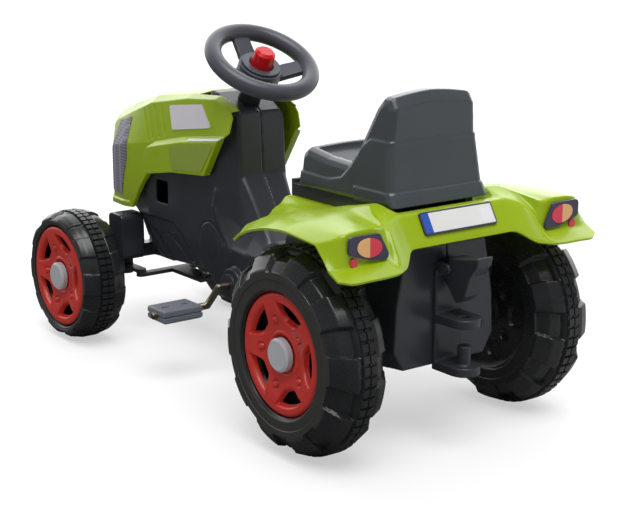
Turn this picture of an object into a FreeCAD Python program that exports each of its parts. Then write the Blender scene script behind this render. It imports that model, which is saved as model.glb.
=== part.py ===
import FreeCAD, Part
import os
from math import atan2, cos, hypot, pi, radians, sin

V = FreeCAD.Vector

# Driving dimensions in millimetres and degrees.
# The sketch frame has its origin on the floor under the rear axle,
# +X forward, +Y to the driver's left, +Z up.
WHEELBASE = 640.0
BODY_HALF = 88.0
WALL = 3.2
OVERRUN = 2.0
RUN_GAP = 0.05
FREE_GAP = 0.5
PANEL_T = 1.2

REAR_R = 137.0
REAR_HALF_W = 44.0
REAR_MID_Y = 175.0
FRONT_HALF_W = 37.0
FRONT_MID_Y = 160.0
TYRE_WALL = 4.0
LUG_COUNT = 10
RIM_R = 80.0
RIM_T = 4.0
RIM_WINDOWS = 5
CAP_R = 22.0
CAP_H = 10.0
RIM_DISH = 10.0
HUB_R = 18.0
AXLE_R = 6.0

KINGPIN_Y = 70.0
KINGPIN_RISE = 78.0
TOWER_HALF_X = 22.0
TOWER_HALF_Y = 21.0
TOWER_RISE = 90.0
BEAM_RISE = 14.0
BEAM_H = 22.0
ARM_L = 50.0
ARM_W = 16.0
ARM_T = 6.0
LINK_DROP = 9.0
LINK_T = 6.0
PIN_R = 4.0
KEEL_HALF_W = 26.0

STEER_RISE = 73.0
STEER_TILT = 31.0
STEER_R = 75.0
GRIP_R = 12.5
SPOKE_W = 30.0
SPOKE_T = 9.0
SPOKE_TURNS = (0.0, 104.0, 256.0)
STEER_HUB_R = 33.0
STEER_HUB_H = 26.0
HUB_DROP = 20.0
BEZEL_R = 29.5
BEZEL_T = 4.0
BUTTON_R = 18.0
BUTTON_H = 27.0
BUTTON_PRESS = 4.0
SHAFT_R = 6.0
SHAFT_RISE = 24.0
DROP_ARM = 40.0
COLLAR_R = 17.0
COLLAR_H = 52.0

CRANK_ARM = 48.0
CRANK_ANGLE = -47.0
CRANK_R = 5.5
CRANK_BEND_Y = 92.0
BUSH_R = 12.0
BUSH_FLANGE_R = 17.0
BUSH_FLANGE_T = 5.0
PEDAL_INNER_Y = 115.0
PEDAL_L = 66.0
PEDAL_W = 48.0
PEDAL_T = 20.0
PEDAL_RIBS = 7
RIB_H = 2.0

CHAIN_Y = 22.0
CHAIN_W = 6.0
CHAIN_PITCH = 8.0
CHAINRING_TEETH = 16
SPROCKET_TEETH = 12
TOOTH_H = 3.0
CHAIN_PLATE_H = 6.5
CHAIN_PLATE_T = 1.2
CHAIN_PIN_R = 1.4

PLATE_W = 122.0
PLATE_H = 30.0
PLATE_T = 3.0
SCREW_R = 3.5
SCREW_H = 2.5

HITCH_HALF_W = 22.0
HITCH_BORE_R = 6.0
HITCH_END_X = -132.0
HITCH_PLATE_T = 6.0
LUG_T = 12.0
PEG_R = 9.0
PEG_H = 26.0
LATCH_HALF_W = 13.0
LATCH_EAR_T = 6.0
LATCH_PIN_R = 4.0

RAIL_W = 14.0
SEAT_ROUND = 9.0

# The body's height and the front wheel go with the rear wheel,
# and the pieces meet at the places below, worked out from the sizes above.
BODY_TOP_SHARE = 2.832
FRONT_R_SHARE = .7591
STEER_X_SHARE = .53125
CRANK_SHARE = (.5078, .3505)
LUG_SHARES = (.4227, .2577)
SEAT_HALF_SHARE = .909
BODY_TOP = REAR_R * BODY_TOP_SHARE
FRONT_R = REAR_R * FRONT_R_SHARE
KINGPIN_TOP = FRONT_R + KINGPIN_RISE
TOWER_TOP = FRONT_R + TOWER_RISE
BEAM_BOTTOM = FRONT_R + BEAM_RISE
BEAM_TOP = BEAM_BOTTOM + BEAM_H
LINK_Z = FRONT_R - LINK_DROP
SHAFT_END_Z = FRONT_R + SHAFT_RISE
STEER_X = WHEELBASE * STEER_X_SHARE
STEER_Z = BODY_TOP + STEER_RISE
CRANK_X = WHEELBASE * CRANK_SHARE[0]
CRANK_Z = BODY_TOP * CRANK_SHARE[1]
UPPER_LUG_Z = BODY_TOP * LUG_SHARES[0]
LOWER_LUG_Z = BODY_TOP * LUG_SHARES[1]
SEAT_HALF_W = BODY_HALF * SEAT_HALF_SHARE
CRANK_AXIS = V(CRANK_X, 0, CRANK_Z)
REAR_AXLE = V(0, 0, REAR_R)
STEER_CENTRE = V(STEER_X, 0, STEER_Z)
STEER_UP = V(-sin(radians(STEER_TILT)), 0, cos(radians(STEER_TILT)))
STEER_FORE = V(cos(radians(STEER_TILT)), 0, sin(radians(STEER_TILT)))
UP = V(0, 0, 1)
LEFT = V(0, 1, 0)
X_CENTRE_SHARE = 0.468
ALL = {}


def put(name, shape):
    """Keep one finished node, moved so that the origin is the middle of the footprint."""
    moved = shape.copy()
    moved.translate(V(-WHEELBASE * X_CENTRE_SHARE, 0, 0))
    ALL[name] = moved


def side(shares):
    """Side view points from shares of the wheelbase and of the body height."""
    return [(WHEELBASE * a, BODY_TOP * b) for a, b in shares]


def cross(shares):
    """Cross section points from shares of the half width and of the body height."""
    return [(BODY_HALF * a, BODY_TOP * b) for a, b in shares]


def loop(points):
    return Part.makePolygon(points + points[:1])


def rounded(points, radius, place):
    """Closed outline with an arc in every corner; place turns (u, v) into a vector."""
    edges = []
    ends = []
    count = len(points)
    for i in range(count):
        a, b, c = points[i - 1], points[i], points[(i + 1) % count]
        to_a = (a[0] - b[0], a[1] - b[1])
        to_c = (c[0] - b[0], c[1] - b[1])
        la, lc = hypot(*to_a), hypot(*to_c)
        ua = (to_a[0] / la, to_a[1] / la)
        uc = (to_c[0] / lc, to_c[1] / lc)
        half = abs(atan2(ua[0] * uc[1] - ua[1] * uc[0], ua[0] * uc[0] + ua[1] * uc[1])) / 2
        reach = min(radius * cos(half) / sin(half), la * CORNER_SHARE, lc * CORNER_SHARE)
        r = reach * sin(half) / cos(half)
        bis = (ua[0] + uc[0], ua[1] + uc[1])
        lb = hypot(*bis)
        dip = r / sin(half) - r
        mid = (b[0] + bis[0] / lb * dip, b[1] + bis[1] / lb * dip)
        start = place(b[0] + ua[0] * reach, b[1] + ua[1] * reach)
        end = place(b[0] + uc[0] * reach, b[1] + uc[1] * reach)
        edges.append(Part.Arc(start, place(*mid), end).toShape())
        ends.append((start, end))
    outline = []
    for i in range(count):
        outline.append(edges[i])
        gap_start, gap_end = ends[i][1], ends[(i + 1) % count][0]
        outline.append(Part.LineSegment(gap_start, gap_end).toShape())
    return Part.Wire(outline)


CORNER_SHARE = 0.47


def side_prism(points, y0, y1, radius=0.0):
    """A side view outline carried across from y0 to y1."""
    place = lambda u, v: V(u, y0, v)
    wire = rounded(points, radius, place) if radius else loop([place(*p) for p in points])
    return Part.Face(wire).extrude(V(0, y1 - y0, 0))


def box(x0, x1, y0, y1, z0, z1):
    return Part.makeBox(x1 - x0, y1 - y0, z1 - z0, V(x0, y0, z0))


def rod(start, end, radius):
    along = end.sub(start)
    return Part.makeCylinder(radius, along.Length, start, along)


def inset(points, gap):
    """Move every side of a closed outline inwards by the same gap."""
    area = sum(p[0] * q[1] - q[0] * p[1] for p, q in zip(points, points[1:] + points[:1]))
    turn = gap if area > 0 else -gap
    out = []
    for i, b in enumerate(points):
        a, c = points[i - 1], points[(i + 1) % len(points)]
        n1 = normal(a, b)
        n2 = normal(b, c)
        push = turn / (1 + n1[0] * n2[0] + n1[1] * n2[1])
        out.append((b[0] + (n1[0] + n2[0]) * push, b[1] + (n1[1] + n2[1]) * push))
    return out


def normal(a, b):
    length = hypot(b[0] - a[0], b[1] - a[1])
    return (-(b[1] - a[1]) / length, (b[0] - a[0]) / length)


def mirror_section(half):
    return half + [(-y, z) for y, z in reversed(half)]


def section_loft(stations):
    wires = [loop([V(x, y, z) for y, z in points]) for x, points in stations]
    return Part.makeLoft(wires, True, True)


def mirrored(shape):
    return shape.mirror(V(0, 0, 0), LEFT)


def both_sides(name, shape):
    put(name + "_left", shape)
    put(name + "_right", mirrored(shape))


# Body: two moulded half shells that meet in the middle plane.
# Each station has its place along the wheelbase, the way its inner skin steps
# along the body, and the left half of its outline from the top to the floor.
BODY_SHARES = (
    (1.0, -1, ((.34, .85), (.545, .82), (.59, .722), (.614, .618), (.59, .53), (.455, .503))),
    (.898, 0, ((.432, .915), (.59, .881), (.682, .773), (.705, .644), (.705, .477), (.66, .381))),
    (.836, 0, ((.455, .933), (.614, .902), (.693, .8), (.705, .644), (.705, .464), (.66, .343))),
    (.672, 0, ((.477, .98), (.614, .948), (.693, .825), (.705, .644), (.705, .464), (.66, .361))),
    (.662, -1, ((.45, .985), (.55, .955), (.69, .83), (.705, .64), (.705, .464), (.66, .358))),
    (.65, -1, ((.45, 1.07), (.5, 1.04), (.688, .833), (.705, .638), (.705, .464), (.66, .355))),
    (.625, 0, ((.46, 1.064), (.52, 1.03), (.682, .84), (.705, .635), (.705, .464), (.66, .345))),
    (.586, 1, ((.46, 1.036), (.53, 1.005), (.66, .85), (.705, .618), (.705, .464), (.648, .278))),
    (.539, 1, ((.41, 1.0), (.477, .98), (.5, .773), (.545, .58), (.705, .49), (.648, .268))),
    (.531, 1, ((.386, .763), (.455, .753), (.5, .696), (.545, .572), (.705, .487), (.648, .268))),
    (.497, 1, ((.341, .678), (.41, .67), (.477, .624), (.545, .554), (.705, .485), (.648, .268))),
    (.47, 1, ((.318, .606), (.386, .598), (.477, .564), (.568, .528), (.705, .482), (.648, .268))),
    (.414, 0, ((.341, .531), (.432, .528), (.523, .518), (.614, .508), (.705, .482), (.648, .268))),
    (.3, -1, ((.41, .513), (.5, .511), (.59, .508), (.66, .5), (.727, .479), (.66, .268))),
    (.272, -1, ((.636, .69), (.773, .68), (.886, .618), (.955, .515), (.955, .387), (.818, .268))),
    (-.0625, 0, ((.727, .69), (.795, .68), (.864, .618), (.966, .49), (1.0, .335), (.864, .27))),
    (-.1125, 1, ((.705, .685), (.773, .675), (.83, .618), (.943, .49), (.977, .34), (.795, .273))),
)
WINDOW_SHARES = ((.805, .582), (.859, .582), (.859, .673), (.805, .673))
GROOVE_SHARES = (((.891, .466), (.8, .369), (.822, .369), (.906, .466)),
                 ((.806, .464), (.684, .371), (.706, .371), (.825, .464)))
RING_CENTRE_SHARE = (.619, .49)
RING_R = 30.0
RING_W = 3.0
GROOVE_DEPTH = 2.0
BODY_SIDE_SHARE = .705
BOSS_R = 25.0
BOSS_H = 9.0
AXLE_BOSS_R = 21.0
AXLE_BOSS_END = 112.0


def body_outer():
    return section_loft([(WHEELBASE * x, mirror_section(cross(half)))
                         for x, step, half in BODY_SHARES])


def body_inner():
    return section_loft([(WHEELBASE * x + step * WALL, inset(mirror_section(cross(half)), WALL))
                         for x, step, half in BODY_SHARES])


def steer_point(distance):
    return STEER_CENTRE.add(STEER_UP * distance)


def body_halves():
    skin = BODY_HALF * BODY_SIDE_SHARE
    shell = body_outer()
    half_bosses = []
    for sign in (1, -1):
        y_in = sign * (skin - WALL)
        y_out = sign * (skin + BOSS_H)
        half_bosses.append(rod(V(CRANK_X, y_in, CRANK_Z), V(CRANK_X, y_out, CRANK_Z), BOSS_R))
        half_bosses.append(rod(V(0, y_in, REAR_R), V(0, sign * AXLE_BOSS_END, REAR_R), AXLE_BOSS_R))
    shell = shell.fuse(half_bosses).cut(body_inner())
    reach = BODY_HALF + AXLE_BOSS_END
    cuts = [rod(V(CRANK_X, -reach, CRANK_Z), V(CRANK_X, reach, CRANK_Z), BUSH_R),
            rod(V(0, -reach, REAR_R), V(0, reach, REAR_R), BUSH_R),
            rod(steer_point(-STEER_Z), STEER_CENTRE, SHAFT_R + RUN_GAP),
            side_prism(side(WINDOW_SHARES), -reach, reach, OVERRUN)]
    ring_x, ring_z = side([RING_CENTRE_SHARE])[0]
    for sign in (1, -1):
        deep = sign * (skin - GROOVE_DEPTH)
        out = sign * (skin + OVERRUN)
        for groove in GROOVE_SHARES:
            cuts.append(side_prism(side(groove), deep, out))
        ring = rod(V(ring_x, deep, ring_z), V(ring_x, out, ring_z), RING_R)
        cuts.append(ring.cut(rod(V(ring_x, deep, ring_z), V(ring_x, out, ring_z), RING_R - RING_W)))
    shell = shell.cut(cuts)
    big = WHEELBASE + BODY_TOP
    put("body_left", shell.common(box(-big, big, 0, big, -big, big)))
    put("body_right", shell.common(box(-big, big, -big, 0, -big, big)))


# Bonnet: one moulded shell over the front of the body. Low on each flank a flared panel
# stands out of it and ends in a curved edge behind the nose, and a lip runs round the nose.
BONNET_SHARES = (
    (.505, ((.865, .515), (.865, .906), (.755, .923), (.655, 1.0), (.5, 1.035), (.227, 1.06))),
    (.588, ((.865, .515), (.865, .889), (.757, .907), (.695, 1.047), (.54, 1.062), (.227, 1.072))),
    (.71, ((.865, .515), (.865, .861), (.765, .879), (.7, 1.03), (.54, 1.048), (.227, 1.058))),
    (.88, ((.845, .515), (.845, .802), (.765, .82), (.675, .982), (.5, 1.01), (.227, 1.02))),
    (1.0, ((.8, .515), (.8, .773), (.785, .789), (.625, .915), (.44, .957), (.227, .969))),
    (1.08, ((.68, .512), (.68, .747), (.67, .763), (.545, .872), (.38, .913), (.205, .925))),
    (1.125, ((.5, .512), (.5, .735), (.49, .747), (.42, .845), (.32, .876), (.182, .886))),
)
BONNET_EDGE_SHARES = ((.605, .752), (.755, .729), (.87, .695), (.902, .644), (.928, .588), (.95, .537),
                      (.962, .528), (1.15, .512), (1.18, .512), (1.18, 1.12), (.636, 1.12), (.509, 1.016),
                      (.528, 1.007), (.518, .989), (.521, .929), (.541, .907))
FLARE_SHARES = ((.5, .5), (.5, .921), (.588, .904), (.71, .876), (.84, .83), (.866, .812), (.887, .768),
                (.905, .709), (.931, .626), (.962, .52), (.962, .5))
FLARE_IN_SHARE = .6
LIP_SHARES = ((.972, .5), (1.2, .48), (1.2, .529), (.972, .551))
LIP_T = 2.2
VENT_SHARES = (((.913, .955), (.876, .827)), ((.89, .968), (.855, .837)),
               ((.861, .978), (.825, .852)), ((.831, .988), (.796, .864)))
VENT_W = 2.6
VENT_DEPTH = 1.5
BONNET_POST_SHARES = ((.64, .795), (.82, .755))
BONNET_POST_END_SHARE = .74
POST_R = 7.0
COWL_HALF_SHARE = .55
COWL_CORNER_SHARE = (.68, .9)


def slim(half):
    """A half outline of the bonnet in millimetres, without the flared panel."""
    waist = half[2][0]
    return mirror_section(cross([(min(y, waist), z) for y, z in half]))


def bonnet_outer():
    wide = section_loft([(WHEELBASE * x, mirror_section(cross(half))) for x, half in BONNET_SHARES])
    narrow = section_loft([(WHEELBASE * x, slim(half)) for x, half in BONNET_SHARES])
    flare = wide.common(side_prism(side(FLARE_SHARES), BODY_HALF * FLARE_IN_SHARE, BODY_HALF))
    return narrow.fuse([flare, mirrored(flare)])


def bonnet_vents(outer):
    """Shallow upright grooves in the upper flank, cut to one depth under its skin."""
    deep = outer.copy()
    deep.translate(V(0, -VENT_DEPTH, 0))
    strips = []
    for top, low in VENT_SHARES:
        (x0, z0), (x1, z1) = side([top, low])
        outline = [(x0, z0), (x0 + VENT_W, z0), (x1 + VENT_W, z1), (x1, z1)]
        strips.append(side_prism(outline, 0, BODY_HALF).cut(deep))
    return strips + [mirrored(strip) for strip in strips]


def bonnet():
    inner = []
    for x, half in BONNET_SHARES:
        points = inset(slim(half), WALL)
        low = points[0]
        points[0] = (low[0], low[1] - BODY_HALF)
        points[-1] = (-low[0], low[1] - BODY_HALF)
        inner.append((WHEELBASE * x - WALL, points))
    lip = section_loft([(WHEELBASE * x + LIP_T, inset(slim(half), -LIP_T)) for x, half in BONNET_SHARES])
    lip = lip.common(side_prism(side(LIP_SHARES), -BODY_HALF, BODY_HALF))
    edge = side_prism(side(BONNET_EDGE_SHARES), -BODY_HALF - OVERRUN, BODY_HALF + OVERRUN)
    body = body_outer()
    posts = []
    for x, z in side(BONNET_POST_SHARES):
        post = rod(V(x, 0, z), V(x, BODY_HALF * BONNET_POST_END_SHARE, z), POST_R).cut(body)
        posts += [post, mirrored(post)]
    cowl_half = BODY_HALF * COWL_HALF_SHARE
    cowl_x, cowl_z = side([COWL_CORNER_SHARE])[0]
    notch = box(0, cowl_x, -cowl_half, cowl_half, cowl_z, cowl_z + BODY_TOP)
    outer = bonnet_outer()
    shell = outer.fuse(lip).cut(section_loft(inner)).common(edge).cut([notch] + bonnet_vents(outer))
    put("bonnet", shell.fuse(posts).removeSplitter())


def skin_panel(shares, outer, lift):
    """A thin panel that lies on the left skin of a shell, cut out of a larger copy of it."""
    thick = outer.copy()
    thick.translate(V(0, lift, 0))
    return side_prism(side(shares), 0, BODY_HALF + lift, lift * 2).common(thick).cut(outer)


GRILLE_SHARES = ((1.05, .875), (.977, .908), (.983, .73), (1.015, .572), (1.09, .575), (1.085, .73))
BADGE_SHARES = ((.785, .99), (.639, 1.02), (.594, .938), (.763, .897))
PATCH_SHARES = ((.757, .839), (.558, .886), (.613, .766), (.745, .744))
STREAK_SHARES = ((.683, .8795), (.535, .911), (.545, .901), (.672, .8735))


def bonnet_panels():
    outer = bonnet_outer()
    for name, shares in (("grille", GRILLE_SHARES), ("badge_panel", BADGE_SHARES),
                         ("stripe_panel", PATCH_SHARES), ("streak_panel", STREAK_SHARES)):
        both_sides(name, skin_panel(shares, outer, PANEL_T))


# Rear deck: one green moulding with the two fenders, the plate panel and the lamp pods.
# Each fender station has its place across the body and its outline from front to rear.
DECK_CENTRE_SHARES = ((.27, .694), (.262, .773), (.1, .773), (-.09, .773), (-.11, .812), (-.13, .812),
                      (-.166, .712))
FENDER_SHARES = (
    (1.023, ((.27, .694), (.262, .745), (.17, .755), (.09, .768),
             (.01, .808), (-.065, .836), (-.13, .812), (-.166, .712))),
    (1.27, ((.26, .692), (.246, .735), (.165, .757), (.085, .778),
            (0.0, .813), (-.075, .833), (-.15, .79), (-.2, .668))),
    (1.55, ((.235, .686), (.215, .725), (.15, .763), (.065, .795),
            (-.03, .816), (-.14, .812), (-.165, .7), (-.217, .667))),
    (2.05, ((.21, .682), (.19, .72), (.135, .76), (.055, .79),
            (-.03, .804), (-.14, .802), (-.165, .698), (-.217, .664))),
    (2.25, ((.18, .684), (.162, .714), (.112, .754), (.05, .78),
            (-.028, .79), (-.125, .779), (-.165, .695), (-.215, .66))),
    (2.477, ((.148, .695), (.133, .716), (.094, .744), (.039, .768),
             (-.023, .778), (-.094, .756), (-.156, .692), (-.206, .657))),
)
POD_SHARES = ((2.24, .68), (2.25, .765), (2.03, .806), (1.72, .806), (1.545, .765), (1.364, .688))
POD_REAR_SHARE = -.176
POD_FRONT_SHARE = -.11
DECK_WALL_SHARES = ((.27, .694), (.262, .745), (.17, .755), (.09, .768), (.01, .808), (-.065, .836),
                    (-.13, .812), (-.166, .712))
DECK_POST_SHARES = ((.18, .5), (.18, -.5), (-.03, .5), (-.03, -.5))


def band(outline, wall):
    """Close an outline drawn from front to rear into a band with its wall on the lower side."""
    lower = []
    for i, p in enumerate(outline):
        a = outline[max(i - 1, 0)]
        c = outline[min(i + 1, len(outline) - 1)]
        n = normal(a, c)
        lower.append((p[0] + n[0] * wall, p[1] + n[1] * wall))
    return outline + lower[::-1]


def fender():
    wires = []
    for across, shares in FENDER_SHARES:
        outline = band(side(shares), WALL)
        wires.append(loop([V(x, BODY_HALF * across, z) for x, z in outline]))
    arch = Part.makeLoft(wires, True, True)
    pod = [V(WHEELBASE * POD_REAR_SHARE, y, z) for y, z in cross(POD_SHARES)]
    length = WHEELBASE * (POD_FRONT_SHARE - POD_REAR_SHARE)
    return arch, Part.Face(loop(pod)).extrude(V(length, 0, 0))


def deck():
    half = BODY_HALF * FENDER_SHARES[0][0]
    centre = side_prism(band(side(DECK_CENTRE_SHARES), WALL), -half, half)
    wall = side_prism(side(DECK_WALL_SHARES), half - WALL, half)
    arch, pod = fender()
    parts = [wall, mirrored(wall), arch, mirrored(arch), pod, mirrored(pod)]
    foot = BODY_TOP * BODY_SHARES[-2][2][0][1]
    for x, y in DECK_POST_SHARES:
        spot = V(WHEELBASE * x, BODY_HALF * y, foot)
        parts.append(Part.makeCylinder(POST_R, BODY_TOP * RAIL_BASE_SHARE - WALL / 2 - foot, spot, UP))
    whole = centre.fuse(parts).removeSplitter()
    put("rear_deck", whole)


# Number plate on the sloping rear panel of the deck.
PLATE_BAND_SHARE = 0.1
PLATE_STICKER_SHARE = 0.385
STICKER_HALF_W = 9.5
STICKER_HALF_H = 9.0
PLATE_INSET = 2.0
PLATE_TOP_SHARE = (-.13, .812)
PLATE_LOW_SHARE = (-.166, .712)
PLATE_RISE_SHARE = 0.26
FACE_T = 0.8


def plate_place():
    """Middle of the rear panel, the way up along it and the way out of it."""
    top, low = side([PLATE_TOP_SHARE, PLATE_LOW_SHARE])
    up = V(top[0] - low[0], 0, top[1] - low[1])
    up.normalize()
    out = V(-up.z, 0, up.x)
    drop = (1 - PLATE_RISE_SHARE) / 2
    middle = V(top[0] + (low[0] - top[0]) * drop, 0, top[1] + (low[1] - top[1]) * drop)
    return middle, up, out


def plate_block(half_w, half_h, start, depth, shift=0.0, radius=0.0):
    middle, up, out = plate_place()
    base = middle.add(out * start)
    place = lambda u, v: base.add(LEFT * (u + shift)).add(up * v)
    points = [(-half_w, -half_h), (half_w, -half_h), (half_w, half_h), (-half_w, half_h)]
    wire = rounded(points, radius, place) if radius else loop([place(*p) for p in points])
    return Part.Face(wire).extrude(out * depth)


def number_plate():
    half_w, half_h = PLATE_W / 2, PLATE_H / 2
    band_w = PLATE_W * PLATE_BAND_SHARE
    frame = plate_block(half_w, half_h, 0, PLATE_T, radius=PLATE_T)
    pocket = plate_block(half_w - PLATE_INSET, half_h - PLATE_INSET, PLATE_T - FACE_T, PLATE_T)
    put("plate_frame", frame.cut(pocket))
    face_half = half_w - PLATE_INSET - band_w / 2
    face = plate_block(face_half, half_h - PLATE_INSET, PLATE_T - FACE_T, FACE_T, -band_w / 2)
    sticker = plate_block(STICKER_HALF_W, STICKER_HALF_H, PLATE_T - FACE_T, FACE_T,
                          -PLATE_W * PLATE_STICKER_SHARE, PLATE_T)
    put("plate_face", face.cut(sticker))
    put("plate_sticker", sticker)
    put("plate_band", plate_block(band_w / 2, half_h - PLATE_INSET, PLATE_T - FACE_T, FACE_T,
                                  half_w - PLATE_INSET - band_w / 2))


# Tail lamps on the rear faces of the pods.
BEZEL_SHARES = ((2.2, .792), (1.67, .79), (1.46, .702), (1.8, .708), (2.2, .735))
BEZEL_ROUND = 6.0
LENS_SHARE = (1.852, .7505)
LENS_HALF_W = 19.0
LENS_HALF_H = 12.0
LENS_TILT = 8.0
LAMP_T = 4.0
LENS_T = 5.0
REFLECTOR_SHARE = (2.1, .708)
REFLECTOR_R = 5.5
REFLECTOR_T = 2.5


def tail_lamps():
    rear = WHEELBASE * POD_REAR_SHARE
    place = lambda u, v: V(rear, u, v)
    outline = cross(BEZEL_SHARES)
    bezel = Part.Face(rounded(outline, BEZEL_ROUND, place)).extrude(V(-LAMP_T, 0, 0))
    split, height = cross([LENS_SHARE])[0]
    a = radians(LENS_TILT)
    long_end = place(split + LENS_HALF_W * cos(a), height + LENS_HALF_W * sin(a))
    short_end = place(split - LENS_HALF_H * sin(a), height + LENS_HALF_H * cos(a))
    oval = Part.Ellipse(long_end, short_end, place(split, height)).toShape()
    window = Part.Face(Part.Wire([oval])).extrude(V(-LENS_T, 0, 0))
    both_sides("lamp_bezel", bezel.cut(window))
    big = WHEELBASE
    both_sides("amber_lens", window.common(box(-big, big, split, big, 0, big)))
    both_sides("red_lens", window.common(box(-big, big, 0, split, 0, big)))
    y, z = cross([REFLECTOR_SHARE])[0]
    both_sides("reflector", rod(V(rear, y, z), V(rear - REFLECTOR_T, y, z), REFLECTOR_R))


# Seat on two rails.
SEAT_SHARES = ((.222, .817), (.216, .93), (.2, .953), (.131, .936), (.061, .93), (.038, .97), (-.016, 1.13),
               (-.035, 1.165), (-.06, 1.165), (-.072, 1.13), (-.069, 1.01), (-.08, .86), (-.092, .817))
SEAT_DISH_SHARES = ((.194, 1.1), (.188, .935), (.15, .905), (.075, .895), (.047, .93), (-.006, 1.1),
                    (-.02, 1.3), (.1, 1.3))
SEAT_CAVITY_SHARES = ((.212, .75), (.206, .9), (.145, .885), (.067, .872), (.03, .91), (-.03, 1.09),
                      (-.052, 1.12), (-.058, 1.0), (-.07, .86), (-.07, .75))
SKIRT_SHARES = ((.3, .7), (.3, .875), (.12, .865), (.075, .88), (.045, .93), (.015, 1.0), (-.01, 1.025),
                (-.2, 1.025), (-.2, .7))
BAND_SHARES = ((.03, .7), (.03, .862), (-.2, .862), (-.2, .7))
SKIRT_T = 1.6
SEAT_DRAFT_SHARE = 0.15
SEAT_DISH_HALF_SHARE = 0.76
SEAT_CROWN_SHARE = 0.06
RAIL_BASE_SHARE = .773
RAIL_FRONT_SHARE = .245
RAIL_REAR_SHARE = -.06
RAIL_Y_SHARE = .86
RAIL_STOP_T = 6.0


def seat_station(y, gap, crown=0.0):
    """Side outline of the seat at one place across it; the sides lean in towards the top."""
    low = BODY_TOP * SEAT_SHARES[0][1]
    lean = SEAT_DRAFT_SHARE / (BODY_TOP * SEAT_SHARES[7][1] - low)
    return loop([V(x, y * (1 - lean * (z - low)), z + (z - low) * crown)
                 for x, z in inset(side(SEAT_SHARES), gap)])


def seat_outer(grow):
    """The seat as a full block, larger by grow on every side."""
    half = SEAT_HALF_W + grow
    soft = SEAT_ROUND * SEAT_SOFT_SHARE
    stations = [(half, SEAT_ROUND, 0.0), (half - soft, soft, 0.0), (half - SEAT_ROUND, 0.0, 0.0)]
    left = [seat_station(y, gap - grow, crown) for y, gap, crown in stations]
    right = [seat_station(-y, gap - grow, crown) for y, gap, crown in reversed(stations)]
    return Part.makeLoft(left + [seat_station(0, -grow, SEAT_CROWN_SHARE)] + right, True, True)


def seat():
    inner_y = SEAT_HALF_W * SEAT_INNER_SHARE
    reach = SEAT_HALF_W + SEAT_ROUND
    skirt = seat_outer(SKIRT_T).common(side_prism(side(SKIRT_SHARES), -reach, reach))
    lip = seat_outer(SKIRT_T * 2).common(side_prism(side(BAND_SHARES), -reach, reach))
    foot = box(-WHEELBASE, WHEELBASE, -reach, reach, 0, BODY_TOP * SEAT_SHARES[0][1])
    dish_y = SEAT_HALF_W * SEAT_DISH_HALF_SHARE
    dish = side_prism(side(SEAT_DISH_SHARES), -dish_y, dish_y, SEAT_ROUND)
    cavity = side_prism(side(SEAT_CAVITY_SHARES), -inner_y, inner_y)
    put("seat", seat_outer(0).fuse([skirt, lip]).cut([dish, cavity, foot]))


SEAT_SOFT_SHARE = 0.3
SEAT_INNER_SHARE = 0.8


def seat_rails():
    base = BODY_TOP * RAIL_BASE_SHARE
    top = BODY_TOP * SEAT_SHARES[0][1]
    front = WHEELBASE * RAIL_FRONT_SHARE
    rear = WHEELBASE * RAIL_REAR_SHARE
    y_out = BODY_HALF * RAIL_Y_SHARE
    rails = box(rear, front, y_out - RAIL_W, y_out, base, top)
    stop = box(front, front + RAIL_STOP_T, -y_out, y_out, base, top + RAIL_STOP_T)
    put("seat_rails", rails.fuse([mirrored(rails), stop]))


# Steering wheel, horn button, shaft with its drop arm.
def steering_wheel():
    hub_base = steer_point(-HUB_DROP - STEER_HUB_H / 2)
    hub = Part.makeCylinder(STEER_HUB_R, STEER_HUB_H, hub_base, STEER_UP)
    rim = Part.makeTorus(STEER_R, GRIP_R, STEER_CENTRE, STEER_UP)
    spokes = []
    hub_low = -HUB_DROP - SPOKE_T
    for turn in SPOKE_TURNS:
        out = STEER_FORE * cos(radians(turn)) + LEFT * sin(radians(turn))
        across = STEER_UP.cross(out)
        near = steer_point(hub_low).add(out * (STEER_HUB_R / 2))
        far = steer_point(-SPOKE_T / 2).add(out * STEER_R)
        wires = []
        for spot, width in ((near, SPOKE_W), (far, SPOKE_W * SPOKE_TAPER_SHARE)):
            half = across * (width / 2)
            rise = STEER_UP * SPOKE_T
            one, two = spot.sub(half), spot.add(half)
            wires.append(loop([one, two, two.add(rise), one.add(rise)]))
        spokes.append(Part.makeLoft(wires, True, True))
    top = -HUB_DROP + STEER_HUB_H / 2
    sink = BUTTON_PRESS * BUTTON_SINK_SHARE
    depth = sink + BUTTON_PRESS + FREE_GAP
    bore = Part.makeCylinder(BUTTON_R + FREE_GAP, depth, steer_point(top - depth), STEER_UP)
    socket = Part.makeCylinder(SHAFT_R, STEER_HUB_H, hub_base.sub(STEER_UP * OVERRUN), STEER_UP)
    keep = Part.makeCylinder(SHAFT_R, STEER_HUB_H / 2, hub_base, STEER_UP)
    whole = rim.fuse(spokes + [hub]).cut([bore, socket.common(keep)])
    put("steering_wheel", whole.removeSplitter())
    bezel = Part.makeCylinder(BEZEL_R, BEZEL_T, steer_point(top), STEER_UP)
    put("horn_bezel", bezel.cut(Part.makeCylinder(BUTTON_R + FREE_GAP, BEZEL_T, steer_point(top), STEER_UP)))
    tip_r = BUTTON_R * BUTTON_TOP_SHARE
    button = Part.makeCone(BUTTON_R, tip_r, BUTTON_H + sink, steer_point(top - sink), STEER_UP)
    crown = max([e for e in button.Edges if e.isClosed()], key=lambda e: e.CenterOfMass.z)
    put("horn_button", button.makeChamfer(BUTTON_R * BUTTON_EDGE_SHARE, [crown]))


SPOKE_TAPER_SHARE = 0.85
BUTTON_EDGE_SHARE = 0.22
BUTTON_TOP_SHARE = 0.84
BUTTON_SINK_SHARE = 1.25


def steer_end():
    """Lower end of the shaft on the steering axis."""
    return steer_point(-(STEER_Z - SHAFT_END_Z) / cos(radians(STEER_TILT)))


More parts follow.
